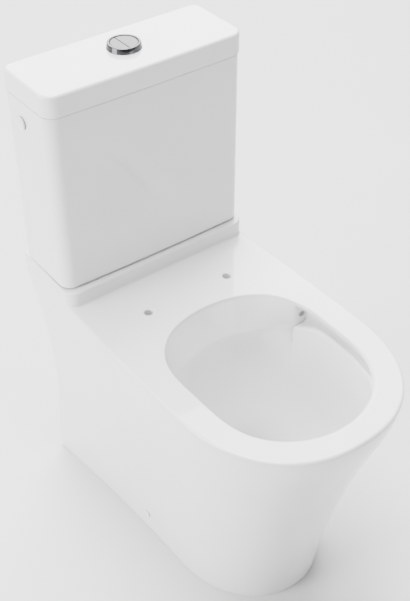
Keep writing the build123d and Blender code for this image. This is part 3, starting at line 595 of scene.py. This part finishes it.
def across(angle, inset, depth):
    """Point at an inset from the mouth's edge. Near the chamber's ends the channel
    runs out square to the side, not square to the mouth's outline."""
    x, reach = mouth_inset(angle, inset)
    if inset < 0.0:
        edge_x, edge_reach = mouth(angle)
        square = 1.0 - smooth_step(abs(side_turn(angle) + END_ANGLE), 0.5, 24.0)
        x = mix(x, math.copysign(abs(edge_x) - inset, edge_x), square)
        reach = mix(reach, edge_reach, square)
    return x, reach, depth


def channel_line(angle):
    """The lip over the channel, the channel, and the rounded lip of its floor."""
    out, lip, fall = table_at(CHANNEL, side_turn(angle))
    top = CHANNEL_TOP
    low = lip - fall
    corner = min(out * 0.3, 4.5)
    drop = min(low - top, 12.0)
    edge = min(lip - top, 4.5) * 0.9
    pairs = [
        (0.0, top - 1.4),
        (-min(out, 2.0) * 0.25, top - 0.4),
        (-min(out, 2.0), top),
        (-out + corner, top + 0.2),
        (-out + corner * 0.3, top + corner * 0.3 + 0.2),
        (-out, top + corner + 0.2),
        (-out, mix(top + corner, low - drop * 0.5, 0.55)),
        (-out + drop * 0.04, low - drop * 0.5),
        (-out + min(drop, out) * 0.16, low - drop * 0.18),
        (-out + min(drop, out) * 0.42, low + fall * 0.06),
        (-out * 0.45, low + fall * 0.45),
        (-edge * 0.9 + 1.0, lip - edge * 0.55),
        (0.6, lip + edge * 0.05),
        (edge * 0.3 + 0.8, lip + edge * 0.65),
        (edge * 0.4 + 1.0, lip + edge * 1.5),
    ]
    return [across(angle, inset, depth) for inset, depth in pairs]


def chamber_line(angle):
    """The band round the rear, down to the crease under it."""
    turn = abs(angle - 270.0)
    crease = table_at(CREASE, turn)[0]
    before_end = 90.0 - END_ANGLE - turn
    cut_off = 0.0
    for (far, much), (near, more) in zip(END_COLUMNS, END_COLUMNS[1:]):
        if near - 1e-6 <= before_end <= far:
            cut_off = mix(much, more, (far - before_end) / (far - near))
    spans = 11
    start = MOUTH_ROUNDING + 1.5
    points = []
    for i in range(spans):
        share = i / (spans - 1)
        depth = mix(start, CREASE_DEPTH - 3.0, share)
        inset = mix(0.0, crease - 1.2, share) - cut_off * smooth_step(depth, 9.0, 13.0)
        points.append(across(angle, inset, depth))
    for inset, depth in CREASE_LIP:
        points.append(across(angle, crease + inset - cut_off, CREASE_DEPTH + depth))
    return points


def plain_line(angle):
    """The front of the bowl, which has no channel."""
    start = mouth_rounding(angle)
    points = []
    for i in range(15):
        depth = mix(start + 0.5, 17.0, i / 14)
        points.append((*bowl_point(angle, max(depth, BOWL[0][0])), depth))
    return points


def rim_line(angle):
    """Points from under the mouth's rounded edge to the top of the bowl's wall."""
    turn = side_turn(angle)
    if angle > 180.0 and turn < -END_ANGLE - 1e-6:
        return chamber_line(angle)
    if turn >= CHANNEL_END:
        return plain_line(angle)
    share = smooth_step(turn, CHANNEL_FADE, CHANNEL_END)
    if share == 0.0:
        return channel_line(angle)
    pairs = zip(channel_line(angle), plain_line(angle))
    return [tuple(mix(p, q, share) for p, q in zip(one, other)) for one, other in pairs]


def bowl_point(angle, depth):
    """Point of the bowl's wall: the mouth's outline on top, plainer ovals further down."""
    half, front, rear = table_at(BOWL, depth)
    down = (depth - BOWL[0][0]) / (BOWL[-1][0] - BOWL[0][0])
    centre = mix(MOUTH_CENTRE, (front + rear) / 2, smooth_step(down, 0.0, 0.6))
    x, reach = egg(
        angle, half, front, rear, centre,
        mix(MOUTH_POWER_FRONT, 2.0, down), mix(MOUTH_POWER_REAR, 2.0, min(down * 1.5, 1.0)),
    )
    edge_x, edge_reach = mouth(angle)
    top_x, top_reach = egg(
        angle, *BOWL[0][1:], MOUTH_CENTRE, MOUTH_POWER_FRONT, MOUTH_POWER_REAR,
    )
    fade = 1.0 - smooth_step(depth, BOWL[0][0], BOWL_FADE)
    return x + (edge_x - top_x) * fade, reach + (edge_reach - top_reach) * fade


def inner_column(angle):
    """All the points of one column, from the mouth's rounded edge to the sump."""
    radius = mouth_rounding(angle)
    column = []
    for turn in FINE_TURNS:
        a = math.radians(turn)
        x, reach = mouth_inset(angle, -radius + radius * math.sin(a))
        column.append((x, reach, radius * (1 - math.cos(a))))
    column += rim_line(angle)
    x, reach, depth = column[-1]
    base_x, base_reach = bowl_point(angle, depth)
    low = BOWL[-1][0]
    fade_from, fade_to = depth - 30.0, depth + BOWL_FADE
    steps = 34
    for i in range(1, steps + 1):
        at = mix(depth, low, (i / steps) ** 1.35)
        fade = 1.0 - smooth_step(at, fade_from, fade_to)
        fade /= 1.0 - smooth_step(depth, fade_from, fade_to)
        bx, br = bowl_point(angle, at)
        column.append((bx + (x - base_x) * fade, br + (reach - base_reach) * fade, at))
    low_x, low_reach = bowl_point(angle, low)
    for share in (0.94, 0.82, 0.62, 0.35, 0.1):
        depth = mix(SUMP_DEPTH, low, share**2)
        column.append((low_x * share, mix(SUMP_REACH, low_reach, share), depth))
    return [(x, reach, DECK_HEIGHT - depth) for x, reach, depth in column]


def inner_rows():
    return [list(row) for row in zip(*[inner_column(angle) for angle in COLUMNS])]


def bowl_room():
    """The room inside the bowl, a hair smaller than the bowl itself."""
    hair = 0.05
    rows = []
    high, low = 150.0, BOWL[-1][0]
    steps = 12
    for i in range(steps + 1):
        depth = mix(high, low, i / steps)
        row = []
        for angle in COLUMNS:
            x, reach = bowl_point(angle, depth)
            a = math.radians(angle)
            row.append((x - hair * math.cos(a), reach - hair * math.sin(a), DECK_HEIGHT - depth))
        rows.append(row)
    return loft("bowl_room", rows)


def pan_body():
    under = under_rows()
    lining = lining_rows()
    rows = under + lining + skirt_rows() + deck_rows() + inner_rows()
    count = len(COLUMNS)
    open_from = len(under)
    open_to = len(under) + len(lining) + len(skirt_levels()) - 1
    faces = [tuple(range(count))]
    for index, face in enumerate(ring_faces(rows)):
        r, c = divmod(index, count)
        at_wall = on_wall_line(COLUMNS[c]) and on_wall_line(COLUMNS[(c + 1) % count])
        if not (at_wall and open_from <= r < open_to):
            faces.append(face)
    last = (len(rows) - 1) * count
    faces.append(tuple(range(last, last + count)))
    return mesh_piece("pan_body", [p for row in rows for p in row], faces)


def side_x(reach, z):
    """Half width of the pan's outside at a reach short of the round, near the deck."""
    _, half, half_wall = table_at(SKIRT, min(z, DECK_HEIGHT))
    along = 1 - reach / ROUND_CENTRE_DECK
    return mix(half, half_wall, along * along)


def platform_row(z, side, front):
    """Plan of the raised platform; side and front are how far it is moved out there."""
    straight = PLATFORM_REACH - PLATFORM_CORNER
    right = [(side_x(straight * i / 10, z) + side, straight * i / 10) for i in range(11)]
    centre_x = side_x(straight, z) - PLATFORM_CORNER
    for i in range(1, 13):
        t = math.radians(90.0 * i / 12)
        out = PLATFORM_CORNER + side * math.cos(t) ** 2 + front * math.sin(t) ** 2
        right.append((centre_x + out * math.cos(t), straight + out * math.sin(t)))
    across = [(centre_x * (1 - i / 8), right[-1][1]) for i in range(1, 9)]
    half = right + across
    left = [(-x, r) for x, r in reversed(half[:-1])]
    return [(x, r, z) for x, r in half + left]


def platform_tool():
    cove = 3.0
    rows = [platform_row(DECK_HEIGHT - 10.0, -4.0, 0.0), platform_row(DECK_HEIGHT - 8.0, 0.1, 0.0)]
    rows.append(platform_row(DECK_HEIGHT - 1.0, 0.1, cove))
    for turn in FINE_TURNS:
        t = math.radians(turn)
        out = cove * (1 - math.sin(t))
        rows.append(platform_row(DECK_HEIGHT + 0.03 + cove * (1 - math.cos(t)), 0.1, out))
    edge = PLATFORM_EDGE_RADIUS
    for turn in FINE_TURNS:
        t = math.radians(turn)
        inset = -edge * (1 - math.cos(t))
        rows.append(platform_row(PLATFORM_TOP - edge + edge * math.sin(t), inset + 0.1, inset))
    return loft("platform", rows)


def rounded_route(points, radius, steps=8):
    """The points of straight runs joined by arcs, each with its direction."""
    route = [Vector(p) for p in points]
    out = [(route[0], (route[1] - route[0]).normalized())]
    for before, corner, after in zip(route, route[1:], route[2:]):
        come = (corner - before).normalized()
        go = (after - corner).normalized()
        turn = come.angle(go)
        back = radius * math.tan(turn / 2)
        side = 1.0 if come.x * go.y - come.y * go.x > 0 else -1.0
        start = corner - come * back
        centre = start + Vector((-come.y, come.x)) * radius * side
        for i in range(steps + 1):
            a = side * turn * i / steps
            spoke = start - centre
            c, n = math.cos(a), math.sin(a)
            point = centre + Vector((spoke.x * c - spoke.y * n, spoke.x * n + spoke.y * c))
            heading = Vector((come.x * c - come.y * n, come.x * n + come.y * c))
            out.append((point, heading))
    out.append((route[-1], (route[-1] - route[-2]).normalized()))
    return out


def trap_tool(radius, lead=0.0):
    """The trap's run as a round bar, which starts a lead further into the sump."""
    reach, height = TRAP_ROUTE[0]
    route = ((reach + lead, height),) + TRAP_ROUTE[1:]
    rows = []
    steps = 40
    for point, heading in rounded_route(route, TRAP_BEND):
        row = []
        for i in range(steps):
            a = 2 * math.pi * i / steps
            x, up = radius * math.cos(a), radius * math.sin(a)
            row.append((x, point.x + up * heading.y, point.y - up * heading.x))
        rows.append(row)
    return loft("trap", rows)


def rod_tool(radius, low, high, x=0.0, reach=None):
    reach = VALVE_REACH if reach is None else reach
    return turned("rod", [(0.0, low), (radius, low), (radius, high), (0.0, high)], x, reach, ROD_STEPS)


def along_x_tool(radius, x0, x1, reach, z, steps=BAR_STEPS):
    rows = []
    for x in (x0, x1):
        ring = [2 * math.pi * i / steps for i in range(steps)]
        rows.append([(x, reach + radius * math.cos(a), z + radius * math.sin(a)) for a in ring])
    return loft("bar", rows)


def along_reach_tool(radius, reach0, reach1, x, z, steps=BAR_STEPS):
    rows = []
    for reach in (reach0, reach1):
        ring = [2 * math.pi * i / steps for i in range(steps)]
        rows.append([(x + radius * math.cos(a), reach, z + radius * math.sin(a)) for a in ring])
    return loft("bar", rows)


def box_tool(x0, x1, reach0, reach1, z0, z1):
    rows = [[(x0, reach0, z), (x1, reach0, z), (x1, reach1, z), (x0, reach1, z)] for z in (z0, z1)]
    return loft("box", rows)


def seat_hole_tool(side):
    """A bore with a rounded mouth."""
    flare = 1.6
    depth = DECK_THICKNESS + 6.0
    profile = [(0.0, DECK_HEIGHT - depth), (SEAT_HOLE_RADIUS, DECK_HEIGHT - depth)]
    for turn in (0.0, 30.0, 60.0, 86.0):
        t = math.radians(turn)
        r = SEAT_HOLE_RADIUS + flare * (1 - math.cos(t))
        profile.append((r, DECK_HEIGHT - flare + flare * math.sin(t)))
    profile += [(profile[-1][0], DECK_HEIGHT + 3.0), (0.0, DECK_HEIGHT + 3.0)]
    return turned("seat_hole", profile, side * SEAT_HOLE_SPACING / 2, SEAT_HOLE_REACH, BAR_STEPS)


def make_pan():
    pan = pan_body()
    chamber_floor = DECK_HEIGHT - CHAMBER_DEPTH
    plate_low, plate_high = PLATFORM_TOP - PLATE_CUT, PLATFORM_TOP + PIERCE
    spigot = along_reach_tool(
        OUTLET_RADIUS, OUTLET_END, OUTLET_END + OUTLET_LENGTH, 0.0, OUTLET_HEIGHT, OUTLET_STEPS,
    )
    boss = rod_tool(SOCKET_RADIUS + SOCKET_WALL, chamber_floor, PLATFORM_TOP - 5.0)
    duct = box_tool(
        -DUCT_HALF_WIDTH, DUCT_HALF_WIDTH, VALVE_REACH, DUCT_END, chamber_floor, DECK_HEIGHT - 5.0,
    )
    room = box_tool(
        -PLATFORM_ROOM, PLATFORM_ROOM, -20.0, PLATFORM_REACH - PLATFORM_WALL,
        DECK_HEIGHT - DECK_THICKNESS - 2.0, PLATFORM_TOP - DECK_THICKNESS,
    )
    combine(pan, "UNION", platform_tool())
    combine(pan, "DIFFERENCE", room)
    combine(pan, "UNION", boss, duct, trap_tool(TRAP_RADIUS + TRAP_WALL, TRAP_WALL + 1.0), spigot)
    holes = [
        bowl_room(),
        rod_tool(SOCKET_RADIUS, PLATFORM_TOP - SOCKET_DEPTH, plate_high),
        rod_tool(SOCKET_BORE, chamber_floor + SOCKET_FLOOR, plate_high),
        trap_tool(TRAP_RADIUS),
        along_reach_tool(
            OUTLET_BORE, -10.0, OUTLET_END + OUTLET_BORE_LENGTH, 0.0, OUTLET_HEIGHT, OUTLET_STEPS,
        ),
    ]
    outer = side_x_low(SIDE_FIX_REACH, SIDE_FIX_HEIGHT)
    for side in (-1, 1):
        holes.append(seat_hole_tool(side))
        holes.append(rod_tool(BOLT_HOLE, plate_low, plate_high, side * BOLT_SPACING / 2))
        ends = (CHAMBER_REACH - JET_LENGTH, CHAMBER_REACH + JET_LEAD)
        holes.append(along_reach_tool(JET_RADIUS, *ends, side * JET_X, JET_HEIGHT))
        ends = sorted((side * (outer - SIDE_FIX_DEPTH), side * (outer + 10.0)))
        holes.append(along_x_tool(SIDE_FIX_HOLE, *ends, SIDE_FIX_REACH, SIDE_FIX_HEIGHT))
        edges = sorted((side * ACCESS_NEAR, side * ACCESS_FAR))
        near, far = VALVE_REACH - ACCESS_HALF_LENGTH, VALVE_REACH + ACCESS_HALF_LENGTH
        holes.append(box_tool(*edges, near, far, plate_low, plate_high))
    combine(pan, "DIFFERENCE", *holes)
    shade(pan, SHARP_ANGLE)
    weigh_normals(pan)
    return pan


def side_x_low(reach, z):
    """Half width of the skirt at any height, short of the round."""
    _, half, half_wall = table_at(SKIRT, z)
    centre = mix(ROUND_CENTRE_FLOOR, ROUND_CENTRE_DECK, z / DECK_HEIGHT)
    along = 1 - reach / centre
    return mix(half, half_wall, along * along)


# ---- the cistern and its lid ---------------------------------------------------------
def bowed_row(z, plan, inset=0.0):
    """A rectangle in plan with round corners, whose front bows out by FRONT_BOW."""
    half, front, rear, corner, rear_corner = plan
    half_in = half - inset
    front_in = front - inset
    rear_in = rear + inset
    ahead = max(corner - inset, 3.0)
    behind = max(rear_corner - inset, 3.0)
    steps = 12
    corners = (
        (half_in - ahead, front_in - ahead, ahead, 0.0),
        (-half_in + ahead, front_in - ahead, ahead, 90.0),
        (-half_in + behind, rear_in + behind, behind, 180.0),
        (half_in - behind, rear_in + behind, behind, 270.0),
    )
    points = []
    for index, (cx, cr, radius, start) in enumerate(corners):
        for i in range(steps + 1):
            a = math.radians(start + 90.0 * i / steps)
            points.append((cx + radius * math.cos(a), cr + radius * math.sin(a)))
        nx, nr, next_radius, next_start = corners[(index + 1) % 4]
        a = math.radians(next_start)
        goal = (nx + next_radius * math.cos(a), nr + next_radius * math.sin(a))
        begin = points[-1]
        spans = 24 if index % 2 == 0 else 6
        for i in range(1, spans):
            points.append((mix(begin[0], goal[0], i / spans), mix(begin[1], goal[1], i / spans)))
    out = []
    for x, r in points:
        ahead = (r - rear_in) / (front_in - rear_in)
        bow = FRONT_BOW * (1 - (x / half_in) ** 2) if ahead > 0.5 else 0.0
        out.append((x, r + bow, z))
    return out


def tank_row(z, inset=0.0):
    taper = mix(-TANK_TAPER, TANK_TAPER, (z - TANK_BOTTOM) / (TANK_TOP - TANK_BOTTOM))
    plan = (TANK_HALF_WIDTH + taper, TANK_FRONT, TANK_REAR, TANK_CORNER, TANK_REAR_CORNER)
    return bowed_row(z, plan, inset)


def make_tank():
    edge = 3.0
    rows = [tank_row(TANK_BOTTOM, edge + UNDER_INSET)]
    for turn in FINE_TURNS:
        t = math.radians(turn)
        rows.append(tank_row(TANK_BOTTOM + edge * (1 - math.cos(t)), edge * (1 - math.sin(t))))
    for share in (0.02, 0.25, 0.5, 0.75, 0.98):
        rows.append(tank_row(mix(TANK_BOTTOM + edge, TANK_TOP, share)))
    lip = 1.5
    for turn in COARSE_TURNS:
        t = math.radians(turn)
        rows.append(tank_row(TANK_TOP - lip + lip * math.sin(t), lip * (1 - math.cos(t))))
    for turn in reversed(COARSE_TURNS):
        t = math.radians(turn)
        rows.append(tank_row(TANK_TOP - lip + lip * math.sin(t), TANK_WALL - lip * (1 - math.cos(t))))
    inner_floor = TANK_BOTTOM + TANK_FLOOR
    cove = 6.0
    for turn in reversed(FINE_TURNS):
        t = math.radians(turn)
        inset = TANK_WALL + cove * (1 - math.sin(t))
        rows.append(tank_row(inner_floor + cove * (1 - math.cos(t)), inset))
    tank = loft("tank_body", rows)
    low, high = TANK_BOTTOM - 2.0, inner_floor + 2.0
    holes = [rod_tool(FLUSH_HOLE_RADIUS, low, high), rod_tool(INLET_HOLE, low, high, FILL_X)]
    for side in (-1, 1):
        holes.append(rod_tool(BOLT_HOLE, low, high, side * BOLT_SPACING / 2))
        ends = sorted((side * (TANK_HALF_WIDTH - 20.0), side * (TANK_HALF_WIDTH + PIERCE)))
        holes.append(along_x_tool(SIDE_HOLE_RADIUS, *ends, SIDE_HOLE_REACH, SIDE_HOLE_HEIGHT))
    combine(tank, "DIFFERENCE", *holes)
    shade(tank, SHARP_ANGLE)
    weigh_normals(tank)
    return tank


def lid_row(z, inset=0.0):
    return bowed_row(z, (LID_HALF_WIDTH, LID_FRONT, LID_REAR, LID_CORNER, LID_REAR_CORNER), inset)


def make_lid():
    ceiling = LID_TOP - LID_THICKNESS
    cove = 4.0
    rows = []
    for turn in COARSE_TURNS:
        t = math.radians(turn)
        rows.append(lid_row(ceiling - cove * (1 - math.cos(t)), LID_WALL + cove * (1 - math.sin(t))))
    lip = 1.6
    for turn in COARSE_TURNS:
        t = math.radians(turn)
        rows.append(lid_row(LID_BOTTOM + lip * (1 - math.sin(t)), LID_WALL - lip * (1 - math.cos(t))))
    for turn in reversed(COARSE_TURNS):
        t = math.radians(turn)
        rows.append(lid_row(LID_BOTTOM + lip * (1 - math.sin(t)), lip * (1 - math.cos(t))))
    edge = LID_EDGE_RADIUS
    rows.append(lid_row(mix(LID_BOTTOM, LID_TOP, 0.5)))
    for turn in (0.0, 15.0, 30.0, 45.0, 60.0, 75.0, 90.0):
        t = math.radians(turn)
        rows.append(lid_row(LID_TOP - edge + edge * math.sin(t), edge * (1 - math.cos(t))))
    rows.append(lid_row(LID_TOP, edge + 4.0))
    lid = loft("lid_body", rows)
    combine(lid, "DIFFERENCE", rod_tool(LID_HOLE_RADIUS, LID_TOP - 20.0, LID_TOP + PIERCE))
    shade(lid, SHARP_ANGLE)
    weigh_normals(lid)
    return lid


# ---- the buttons ------------------------------------------------------------------------
def make_bezel():
    floor = SLEEVE_BOTTOM + SLEEVE_FLOOR
    top = BEZEL_TOP
    crown = BEZEL_CROWN_RADIUS
    profile = [(0.0, floor), (SLEEVE_BORE, floor)]
    inner, outer, foot = 0.8, 1.4, 0.6      # radii of its rounded edges
    profile += arc(SLEEVE_BORE + inner, top - inner, inner, 180.0, 90.0, 4)
    profile += arc(crown - outer, top - outer, outer, 90.0, 10.0, 6)
    profile += arc(BEZEL_RADIUS - foot, LID_TOP + foot, foot, 10.0, -90.0, 4)
    profile += [(SLEEVE_RADIUS, LID_TOP), (SLEEVE_RADIUS, SLEEVE_BOTTOM), (0.0, SLEEVE_BOTTOM)]
    bezel = turned("button_ring", profile, 0.0, VALVE_REACH, 128)
    low, high = SLEEVE_BOTTOM - 2.0, floor + 2.0
    combine(bezel, "DIFFERENCE", *[rod_tool(ROD_HOLE, low, high, x) for x in (-ROD_X, ROD_X)])
    shade(bezel, SHARP_ANGLE)
    weigh_normals(bezel)
    return bezel


def half_disc(side, inset, z):
    """Plan of one part of the split button; side is 1 for the right part."""
    radius = BUTTON_RADIUS - inset
    edge = side * SPLIT_X + SPLIT_GAP / 2 + inset
    limit = math.acos(edge / radius)
    steps = 64
    points = []
    for i in range(steps + 1):
        a = mix(-limit, limit, i / steps)
        points.append((side * radius * math.cos(a), VALVE_REACH + radius * math.sin(a), z))
    chord = 12
    for i in range(1, chord):
        reach = VALVE_REACH + radius * math.sin(limit) * mix(1, -1, i / chord)
        points.append((side * edge, reach, z))
    return points


def make_button(name, side):
    edge = 0.8
    rows = [half_disc(side, 0.0, BUTTON_TOP - BUTTON_DEPTH)]
    for turn in FINE_TURNS:
        t = math.radians(turn)
        rows.append(half_disc(side, edge * (1 - math.cos(t)), BUTTON_TOP - edge + edge * math.sin(t)))
    button = loft(name, rows)
    weigh_normals(button)
    return button


def make_spring(name, x):
    """A return spring of round wire, wound round its push rod."""
    bottom = SLEEVE_BOTTOM + SLEEVE_FLOOR + SPRING_WIRE
    top = BUTTON_TOP - BUTTON_DEPTH - SPRING_WIRE
    per_turn, wire_steps = 28, 10
    rows = []
    total = SPRING_TURNS * per_turn
    for i in range(total + 1):
        a = 2 * math.pi * i / per_turn
        z = mix(bottom, top, i / total)
        row = []
        for j in range(wire_steps):
            b = 2 * math.pi * j / wire_steps
            r = SPRING_RADIUS + SPRING_WIRE * math.cos(b)
            up = SPRING_WIRE * math.sin(b)
            row.append((x + r * math.cos(a), VALVE_REACH + r * math.sin(a), z + up))
        rows.append(row)
    return loft(name, rows)


# ---- materials ------------------------------------------------------------------
NOISE_LOW, NOISE_HIGH = 0.3, 0.7        # most of the noise lies between these


def new_material(name):
    material = bpy.data.materials.new(name)
    material.use_nodes = True
    tree = material.node_tree
    return material, tree, tree.nodes["Principled BSDF"]


def add_noise(tree, scale, detail=4.0, roughness=0.5):
    place = tree.nodes.get("place") or tree.nodes.new("ShaderNodeTexCoord")
    place.name = "place"
    noise = tree.nodes.new("ShaderNodeTexNoise")
    noise.inputs["Scale"].default_value = scale
    noise.inputs["Detail"].default_value = detail
    noise.inputs["Roughness"].default_value = roughness
    tree.links.new(place.outputs["Object"], noise.inputs["Vector"])
    return noise


def vary_colour(tree, shader, noise, dark, light):
    ramp = tree.nodes.new("ShaderNodeValToRGB")
    ramp.color_ramp.elements[0].position = NOISE_LOW
    ramp.color_ramp.elements[0].color = (*dark, 1)
    ramp.color_ramp.elements[1].position = NOISE_HIGH
    ramp.color_ramp.elements[1].color = (*light, 1)
    tree.links.new(noise.outputs["Fac"], ramp.inputs["Fac"])
    tree.links.new(ramp.outputs["Color"], shader.inputs["Base Color"])


def vary_roughness(tree, shader, noise, low, high):
    spread = tree.nodes.new("ShaderNodeMapRange")
    spread.inputs["From Min"].default_value = NOISE_LOW
    spread.inputs["From Max"].default_value = NOISE_HIGH
    spread.inputs["To Min"].default_value = low
    spread.inputs["To Max"].default_value = high
    tree.links.new(noise.outputs["Fac"], spread.inputs["Value"])
    tree.links.new(spread.outputs["Result"], shader.inputs["Roughness"])


def add_bump(tree, shader, noise, strength, distance):
    bump = tree.nodes.new("ShaderNodeBump")
    bump.inputs["Strength"].default_value = strength
    bump.inputs["Distance"].default_value = distance
    tree.links.new(noise.outputs["Fac"], bump.inputs["Height"])
    tree.links.new(bump.outputs["Normal"], shader.inputs["Normal"])


def china_material():
    material, tree, shader = new_material("glazed_china")
    shader.inputs["IOR"].default_value = 1.52
    vary_colour(tree, shader, add_noise(tree, 9.0), (0.76, 0.76, 0.758), (0.79, 0.79, 0.789))
    vary_roughness(tree, shader, add_noise(tree, 60.0, 6.0), 0.05, 0.09)
    add_bump(tree, shader, add_noise(tree, 16.0, 2.0, 0.3), 0.08, 0.0006)
    return material


def chrome_material():
    material, tree, shader = new_material("polished_chrome")
    shader.inputs["Metallic"].default_value = 1.0
    vary_colour(tree, shader, add_noise(tree, 300.0), (0.058, 0.059, 0.061), (0.075, 0.076, 0.078))
    vary_roughness(tree, shader, add_noise(tree, 500.0, 6.0), 0.05, 0.14)
    add_bump(tree, shader, add_noise(tree, 220.0), 0.04, 0.0002)
    return material


def plastic_material(name, colour, rough, grain):
    material, tree, shader = new_material(name)
    darker = [c * 0.95 for c in colour]
    vary_colour(tree, shader, add_noise(tree, 40.0), darker, colour)
    vary_roughness(tree, shader, add_noise(tree, 400.0, 6.0), rough * 0.8, rough * 1.2)
    add_bump(tree, shader, add_noise(tree, grain), 0.1, 0.0002)
    return material


def rubber_material(name, colour):
    material, tree, shader = new_material(name)
    darker = [c * 0.8 for c in colour]
    vary_colour(tree, shader, add_noise(tree, 120.0), darker, colour)
    vary_roughness(tree, shader, add_noise(tree, 300.0), 0.55, 0.75)
    add_bump(tree, shader, add_noise(tree, 900.0, 8.0), 0.25, 0.0003)
    return material


def metal_material(name, dark, light, rough):
    material, tree, shader = new_material(name)
    shader.inputs["Metallic"].default_value = 1.0
    vary_colour(tree, shader, add_noise(tree, 150.0), dark, light)
    vary_roughness(tree, shader, add_noise(tree, 600.0, 8.0), rough * 0.8, rough * 1.3)
    add_bump(tree, shader, add_noise(tree, 800.0, 8.0), 0.1, 0.0002)
    return material


MATERIALS = {
    "china": china_material(),
    "chrome": chrome_material(),
    "white_plastic": plastic_material("white_plastic", (0.78, 0.78, 0.77), 0.28, 900.0),
    "grey_plastic": plastic_material("grey_plastic", (0.38, 0.41, 0.45), 0.4, 900.0),
    "black_rubber": rubber_material("black_rubber", (0.035, 0.035, 0.036)),
    "seal_rubber": rubber_material("seal_rubber", (0.35, 0.06, 0.045)),
    "foam_rubber": rubber_material("foam_rubber", (0.06, 0.06, 0.062)),
    "clear_pad": plastic_material("clear_pad", (0.6, 0.6, 0.6), 0.3, 300.0),
    "brass": metal_material("brass", (0.62, 0.44, 0.19), (0.74, 0.55, 0.26), 0.25),
    "stainless": metal_material("stainless", (0.48, 0.48, 0.48), (0.6, 0.6, 0.6), 0.3),
}


def paint_frame():
    """Every CAD node takes the material of its slot in the record."""
    for part in frame["record"]["subparts"]:
        node = frame["nodes"][part["node"]]
        node.data.materials.clear()
        node.data.materials.append(MATERIALS[part["material_slot"]])


# ---- stage ------------------------------------------------------------------------
AZIMUTH = -36.52
ELEVATION = 39.41
ROLL = -0.32
DISTANCE = 1.77195
TARGET = Vector((-0.01765, 0.02695, 0.5016))
FOCAL = 66.74
SHIFT = (-0.00007, 0.00082)
SENSOR_HEIGHT = 36.0

WORLD_STRENGTH = 0.42
FLOOR_HALF_SIZE = 12.0
MIDDLE = (0, 0, 0.5)
# name, place, what it looks at, size in metres, watts
LIGHTS = (
    ("rear", (1.9, 2.7, 3.4), MIDDLE, 4.0, 520),
    ("top", (-0.2, 0.5, 3.8), MIDDLE, 2.0, 300),
    ("left", (-3.4, 0.6, 1.3), (0, 0, 0.6), 2.0, 250),
    ("front", (0.8, -3.4, 1.5), MIDDLE, 2.0, 40),
)


def aim(thing, eye, target, roll=0.0):
    back = (eye - target).normalized()
    right = Vector((0, 0, 1)).cross(back).normalized()
    up = back.cross(right)
    turn = Matrix((right, up, back)).transposed()
    turn = turn @ Matrix.Rotation(math.radians(roll), 3, "Z")
    thing.matrix_world = Matrix.Translation(eye) @ turn.to_4x4()


def make_camera():
    az = math.radians(AZIMUTH)
    el = math.radians(ELEVATION)
    back = Vector((math.sin(az) * math.cos(el), -math.cos(az) * math.cos(el), math.sin(el)))
    data = bpy.data.cameras.new("camera")
    data.sensor_fit = "VERTICAL"
    data.sensor_height = SENSOR_HEIGHT
    data.lens = FOCAL
    data.shift_x, data.shift_y = SHIFT
    camera = bpy.data.objects.new("camera", data)
    bpy.context.collection.objects.link(camera)
    aim(camera, TARGET + back * DISTANCE, TARGET, ROLL)
    bpy.context.scene.camera = camera


def area_light(name, eye, target, size, power):
    data = bpy.data.lights.new(name, "AREA")
    data.shape = "DISK"
    data.size = size
    data.energy = power
    light = bpy.data.objects.new(name, data)
    bpy.context.collection.objects.link(light)
    aim(light, Vector(eye), Vector(target))


def make_stage():
    world = bpy.data.worlds.new("studio")
    world.use_nodes = True
    world.node_tree.nodes["Background"].inputs["Color"].default_value = (1, 1, 1, 1)
    world.node_tree.nodes["Background"].inputs["Strength"].default_value = WORLD_STRENGTH
    bpy.context.scene.world = world
    half = FLOOR_HALF_SIZE
    mesh = bpy.data.meshes.new("floor")
    corners = [(-half, -half, 0), (half, -half, 0), (half, half, 0), (-half, half, 0)]
    mesh.from_pydata(corners, [], [(0, 1, 2, 3)])
    floor = bpy.data.objects.new("floor", mesh)
    bpy.context.collection.objects.link(floor)
    floor.data.materials.append(floor_material())
    for light in LIGHTS:
        area_light(*light)


def floor_material():
    material, tree, shader = new_material("pale_floor")
    vary_colour(tree, shader, add_noise(tree, 2.0), (0.72, 0.72, 0.72), (0.75, 0.75, 0.75))
    shader.inputs["Roughness"].default_value = 0.9
    shader.inputs["Specular IOR Level"].default_value = 0.1
    return material


# ---- build ------------------------------------------------------------------------
make_camera()
make_stage()
paint_frame()


def build():
    china = MATERIALS["china"]
    chrome = MATERIALS["chrome"]
    steel = MATERIALS["stainless"]
    finish_piece(make_pan(), "toilet", china, "china", "pan", "pan_bowl")
    finish_piece(make_tank(), "toilet", china, "china", "cistern")
    finish_piece(make_lid(), "lid", china, "china", "cistern_lid")
    finish_piece(make_bezel(), "lid", chrome, "chrome", "button_bezel")
    finish_piece(make_button("full_button", 1), "full_button", chrome, "chrome", "full_flush_button")
    finish_piece(make_button("half_button", -1), "half_button", chrome, "chrome", "half_flush_button")
    for kind, x in (("full", ROD_X), ("half", -ROD_X)):
        spring = make_spring(f"{kind}_spring_wire", x)
        finish_piece(spring, "lid", steel, "stainless", f"{kind}_button_spring")
        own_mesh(spring)


build()
